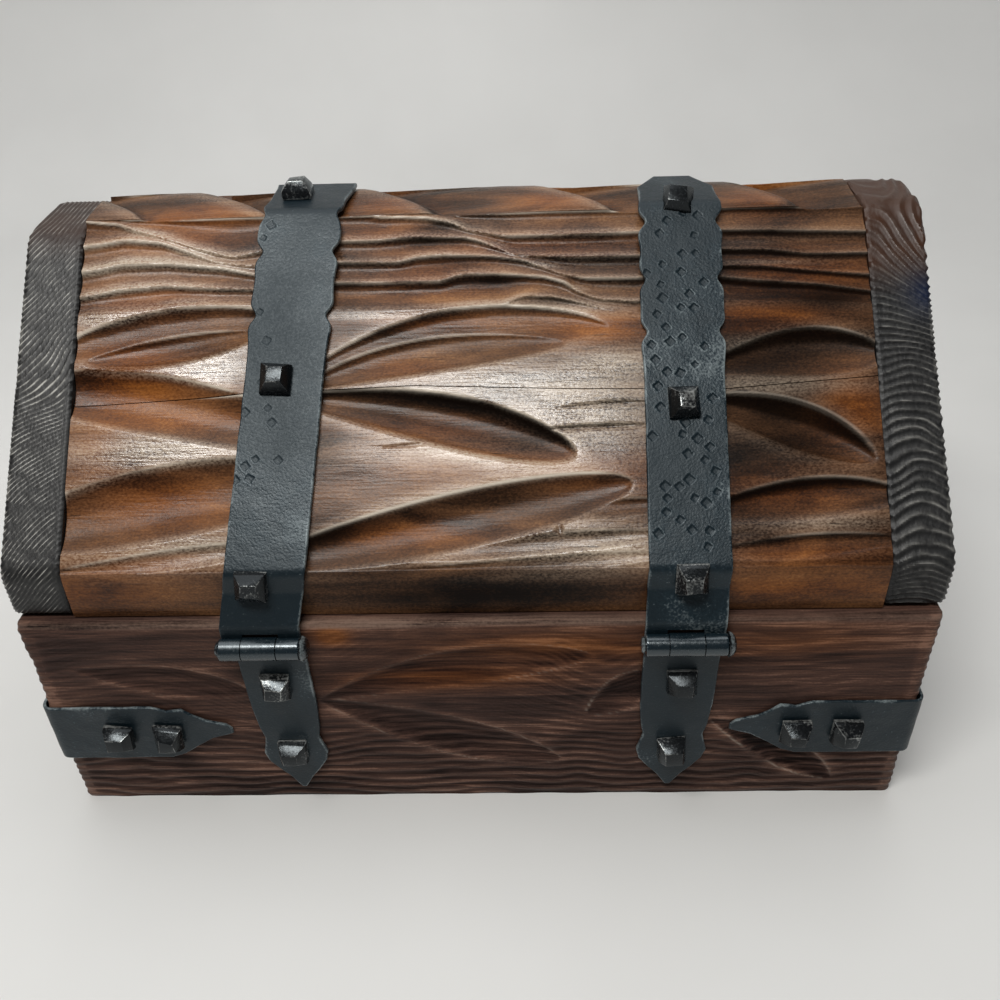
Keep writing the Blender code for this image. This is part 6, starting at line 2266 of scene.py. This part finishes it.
@dataclass
class CornerBand:
    """A flat band round an upright corner of the base, with a notched shoulder and a pointed snout.

    Fields:
        palette: the chest's finishes.
        face: the long side that it is on.
        end: the end that it is at.
        height: height of its middle.
        reach: how far it reaches from the corner each way.
        thickness: its thickness.
        bend_radius: radius of its bend.
    """

    palette: Palette
    face: Face
    end: End
    sizes: ChestSizes = SIZES
    height: float = 0.0364
    reach: float = 0.0625
    thickness: float = 0.0011
    bend_radius: float = 0.0036

    @property
    def node(self) -> str:
        """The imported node's name."""
        return f"{self.face.name.lower()}_{self.end.name.lower()}_corner_band"

    def build(self) -> None:
        """Build the band."""
        sizes = self.sizes
        lift = sizes.seat_gap + self.thickness / 2
        corner = (sizes.base_width / 2 + lift, sizes.base_depth / 2 + lift)
        plan = eased_corners([(corner[0], sizes.base_depth / 2 - self.reach), corner,
                              (sizes.base_width / 2 - self.reach, corner[1])], self.bend_radius)
        line = even_line(plan)
        middle = float(distances(line)[-1]) / 2
        half = sizes.strap_width / 2
        upper = np.array([(0.0, 1.0), (0.58, 1.0), (0.62, 0.93), (0.66, 0.84), (0.70, 0.88), (0.745, 0.90),
                          (0.80, 0.66), (0.86, 0.48), (0.90, 0.42), (0.97, 0.32), (1.0, 0.16)])
        lower = np.array([(0.0, 1.0), (0.62, 0.98), (0.70, 0.84), (0.78, 0.54), (0.88, 0.22), (0.97, 0.08),
                          (1.0, 0.02)])

        def edges(along: Array) -> tuple[Array, Array]:
            """Lower and upper edges of the band."""
            share = np.abs(along - middle) / middle
            return (self.height - half * np.interp(share, lower[:, 0], lower[:, 1]),
                    self.height + half * np.interp(share, upper[:, 0], upper[:, 1]))

        signs = np.array([self.end.value, self.face.value])
        points = np.column_stack([line * signs, np.zeros(len(line))])
        ways = np.column_stack([ways_out(line, 1.0) * signs, np.zeros(len(line))])
        plate = Plate(points, ways, np.array([0.0, 0.0, 1.0]), edges, hammer=0.00022, wobble=0.00025,
                      thickness=self.thickness, seed=23 + self.face.value * 2 + self.end.value)
        make_piece(self.node + "_forged", plate.sketch(), self.palette.strap, Body.BASE, [self.node])


@dataclass
class HaspSet:
    """The fastening on the front: strap, hasp, pin, staple and its plate.

    Fields:
        palette: the chest's finishes.
        pin_half: half of the pin's length between its heads.
        pin_shift: how far its middle lies to the left of its box's.
    """

    palette: Palette
    pin_half: float = 0.0123
    pin_shift: float = 0.0007

    def build(self) -> None:
        """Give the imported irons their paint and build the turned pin."""
        for node in ("hasp_strap", "hasp", "staple_plate", "staple"):
            refinish(node, self.palette.strap)
        low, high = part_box("hasp_pin")
        middle = (low + high) / 2
        TurnedPin("hasp_pin", (middle.x - self.pin_shift, middle.y, middle.z), self.pin_half, 1,
                  Body.LID).build(self.palette.barrel)


@dataclass
class Nails:
    """All the chest's nails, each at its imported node's place.

    Fields:
        palette: the chest's finishes.
        head: how far a head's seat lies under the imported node's top.
        tilt: how far the lower nails of the lid are tilted up, in degrees.
        fallen: how far the left ridge nail is tilted over.
        fallen_by: how far that nail has moved.
    """

    palette: Palette
    sizes: ChestSizes = SIZES
    head: float = 0.0050
    tilt: float = 13.0
    fallen: float = -40.0
    fallen_by: tuple[float, float, float] = (0.0, 0.0042, -0.0012)

    def build(self) -> None:
        """Build every nail on the face that its node sits on."""
        sine, cosine = math.sin(self.sizes.slope_angle), math.cos(self.sizes.slope_angle)
        for node in sorted(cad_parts):
            if "nail" not in node:
                continue
            low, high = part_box(node)
            middle = (low + high) / 2
            on_lid = any(word in node for word in ("upright", "slope", "ridge", "hasp"))
            up = Vector((0.0, 0.0, 1.0))
            if "slope" in node:
                out, up = Vector((0.0, sine, cosine)), Vector((0.0, -cosine, sine))
            elif "hasp" in node:
                out, up = Vector((0.0, -sine, cosine)), Vector((0.0, cosine, sine))
            elif "ridge" in node:
                out, up = Vector((0.0, 0.0, 1.0)), Vector((0.0, -1.0, 0.0))
            elif "end_nail" in node:
                out = Vector((math.copysign(1.0, middle.x), 0.0, 0.0))
            else:
                out = Vector((0.0, math.copysign(1.0, middle.y), 0.0))
            points = np.array([vert.co[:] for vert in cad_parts[node].data.vertices])
            lift = points @ np.array(out)
            top = points[lift > lift.max() - 0.0002].mean(0)
            place = Vector(top) - out * self.head
            turn = (sum(ord(letter) for letter in node) % 15) - 7.0
            if "upright" in node:
                out, up = self.tilted(out, up, self.tilt)
            if node == "left_ridge_nail":
                out, up = self.tilted(out, up, self.fallen)
                place += Vector(self.fallen_by)
            body = Body.LID if on_lid else Body.BASE
            NailHead(node, tuple(place), tuple(out), tuple(up), body, turn).build(self.palette.nail)

    @staticmethod
    def tilted(out: Vector, up: Vector, degrees: float) -> tuple[Vector, Vector]:
        """A nail's ways turned upwards by an angle."""
        turn = math.radians(degrees)
        return out * math.cos(turn) + up * math.sin(turn), up * math.cos(turn) - out * math.sin(turn)


@dataclass(frozen=True)
class Studio:
    """Pale floor, soft light and the camera at the photograph's viewing angle.

    Fields:
        place: the camera's place.
        yaw: how far it is turned to one side of the chest's back, in degrees.
        pitch: how far it looks down.
        roll: how far it is tilted.
        lens: its focal length in millimetres.
        sky: colour of the even sky.
        sky_power: its strength.
        sweep_start: where the floor starts to sweep up.
        sweep_radius: radius of that sweep.
    """

    place: tuple[float, float, float] = (-0.016408, 0.336442, 0.302314)
    yaw: float = -1.7321
    pitch: float = 36.1382
    roll: float = -1.8348
    lens: float = 36.037
    sky: tuple[float, float, float] = (0.88, 0.90, 0.93)
    sky_power: float = 0.09
    sweep_start: float = -0.42
    sweep_radius: float = 0.25

    def build(self) -> None:
        """Build the floor, lights and camera."""
        self.floor()
        self.lights()
        self.camera()

    def camera(self) -> None:
        """Place the camera."""
        yaw, pitch, roll = (math.radians(k) for k in (self.yaw, self.pitch, self.roll))
        ahead = Vector((math.sin(yaw) * math.cos(pitch), math.cos(yaw) * math.cos(pitch), -math.sin(pitch)))
        right = Vector((math.cos(yaw), -math.sin(yaw), 0.0))
        up = right.cross(ahead)
        turned_right = math.cos(roll) * right + math.sin(roll) * up
        turned_up = -math.sin(roll) * right + math.cos(roll) * up
        half_turn = Matrix.Rotation(math.pi, 3, "Z")
        columns = [half_turn @ way for way in (turned_right, turned_up, -ahead)]
        data = bpy.data.cameras.new("camera")
        data.lens = self.lens
        data.sensor_width = 36.0
        data.clip_start = 0.01
        camera = bpy.data.objects.new("camera", data)
        camera.matrix_world = Matrix.Translation(self.place) @ Matrix(columns).transposed().to_4x4()
        bpy.context.scene.collection.objects.link(camera)
        bpy.context.scene.camera = camera

    def floor(self) -> None:
        """A pale table top that sweeps up behind the chest."""
        start, radius = self.sweep_start, self.sweep_radius
        sweep = [(start - radius * math.sin(turn), radius - radius * math.cos(turn))
                 for turn in np.radians(np.linspace(6.0, 84.0, 14))]
        profile = [(6.0, 0.0), (start, 0.0)] + sweep + [(-0.68, 1.6)]
        points = [(x, y, z) for y, z in profile for x in (-6.0, 6.0)]
        faces = [(2 * k, 2 * k + 1, 2 * k + 3, 2 * k + 2) for k in range(len(profile) - 1)]
        mesh = bpy.data.meshes.new("table_top")
        mesh.from_pydata(points, [], faces)
        mesh.shade_smooth()
        material, nodes = new_material("table_top")
        clouds = nodes.noise((5.0, 5.0, 5.0), 4.0)
        nodes.feed("Base Color", nodes.ramp(clouds, ((0.3, (0.66, 0.66, 0.65)), (0.7, (0.73, 0.73, 0.72)))))
        nodes.feed("Roughness", 0.55)
        mesh.materials.append(material)
        floor = bpy.data.objects.new("table_top", mesh)
        bpy.context.scene.collection.objects.link(floor)

    def lights(self) -> None:
        """A soft overhead light, a long lamp behind the camera that the varnish mirrors, and an even sky."""
        world = bpy.data.worlds.new("room")
        world.use_nodes = True
        background = world.node_tree.nodes["Background"]
        background.inputs["Color"].default_value = (*self.sky, 1.0)
        background.inputs["Strength"].default_value = self.sky_power
        bpy.context.scene.world = world
        bpy.context.scene.view_settings.view_transform = "Standard"
        self.area("overhead", (0.10, -0.25, 1.30), (0.0, 0.0, 0.1), (1.2, 0.9), 6.7)
        self.area("sheen", (0.20, 0.53, 1.12), (0.0, 0.05, 0.14), (0.66, 0.20), 10.4, (1.0, 0.985, 0.95))

    @staticmethod
    def area(name: str, place: tuple[float, float, float], target: tuple[float, float, float],
             size: tuple[float, float], power: float,
             colour: tuple[float, float, float] = (1.0, 1.0, 1.0)) -> None:
        """Add one rectangular light.

        Args:
            name: its name.
            place: where it hangs.
            target: what it looks at.
            size: its length and width.
            power: in watts.
            colour: of its light.
        """
        data = bpy.data.lights.new(name, "AREA")
        data.shape = "RECTANGLE"
        data.size, data.size_y = size
        data.energy = power
        data.color = colour
        light = bpy.data.objects.new(name, data)
        way = Vector(target) - Vector(place)
        light.location = place
        light.rotation_euler = way.to_track_quat("-Z", "Y").to_euler()
        bpy.context.scene.collection.objects.link(light)


def scattered_punches(count: int, low: float, high: float, half: float, seed: int) -> tuple[Punch, ...]:
    """Punch marks scattered over a stretch of a strap, none on another.

    Args:
        count: how many to try for.
        low: where the stretch starts, in metres up the slope.
        high: where it ends.
        half: how far to either side they reach.
        seed: picks the scatter.

    Returns:
        The marks, placed along the slope and across the strap.
    """
    rng = np.random.default_rng(seed)
    found: list[Punch] = []
    for _ in range(count * 12):
        along, across = rng.uniform(low, high), rng.uniform(-half, half)
        turn = rng.choice([45.0, 40.0, 51.0, 36.0, 60.0])
        size = rng.uniform(0.0010, 0.00140)
        if all(math.hypot(along - p.along, across - p.across) > 0.0038 for p in found):
            found.append(Punch(along, across, float(turn), float(size)))
        if len(found) == count:
            break
    return tuple(found)


def build_chest() -> None:
    """Build every part of the chest in order."""
    logging.basicConfig(level=logging.INFO, format="%(message)s")
    palette = Palette.make()
    BoardedBase(palette).build()
    CarvedLid(palette).build()
    EndCap(palette, End.RIGHT, Rings(pitch=0.0015, wander=0.0040, height=0.00040, seed=61, tilt=0.80, knots=(
        (0.130, 0.060, 0.142, 0.016, 0.007), (0.137, 0.095, 0.108, 0.020, -0.004))),
        brown=1.0, brown_from=0.172, rubbed=2.0, drop=0.0030).build()
    EndCap(palette, End.LEFT, Rings(pitch=0.0023, wander=0.0058, height=0.00080, seed=67, knots=(
        (-0.150, 0.030, 0.166, 0.024, 0.014),), bow=24.0, middle=-0.137),
        brown=1.3, brown_from=0.160, rubbed=0.45, ink=(-0.147, 0.036, 0.163)).build()
    StrapHinge(palette, End.RIGHT, hinge_x=0.0680, centres=((0.0, -3.8), (89.0, -10.0), (140.0, -13.5)),
               notches=((83.0, 2.4), (105.0, 2.4), (118.0, 1.6)),
               punches=scattered_punches(count=16, low=0.010, high=0.116, half=0.0085, seed=4),
               leaf_lean=-0.0036, leaf_width=0.92, squared=True).build()
    StrapHinge(palette, End.LEFT, hinge_x=-0.0665, centres=((0.0, -0.5), (86.0, -1.5), (140.0, -2.5)),
               notches=((75.0, 2.2), (93.0, 2.2), (113.0, 2.6)),
               punches=scattered_punches(count=52, low=0.004, high=0.116, half=0.0100, seed=8),
               leaf_lean=0.0006, leaf_width=1.0, squared=False).build()
    for face in Face:
        for end in End:
            CornerBand(palette, face, end).build()
    HaspSet(palette).build()
    Nails(palette).build()
    Studio().build()


if __name__ == "__main__":
    build_chest()
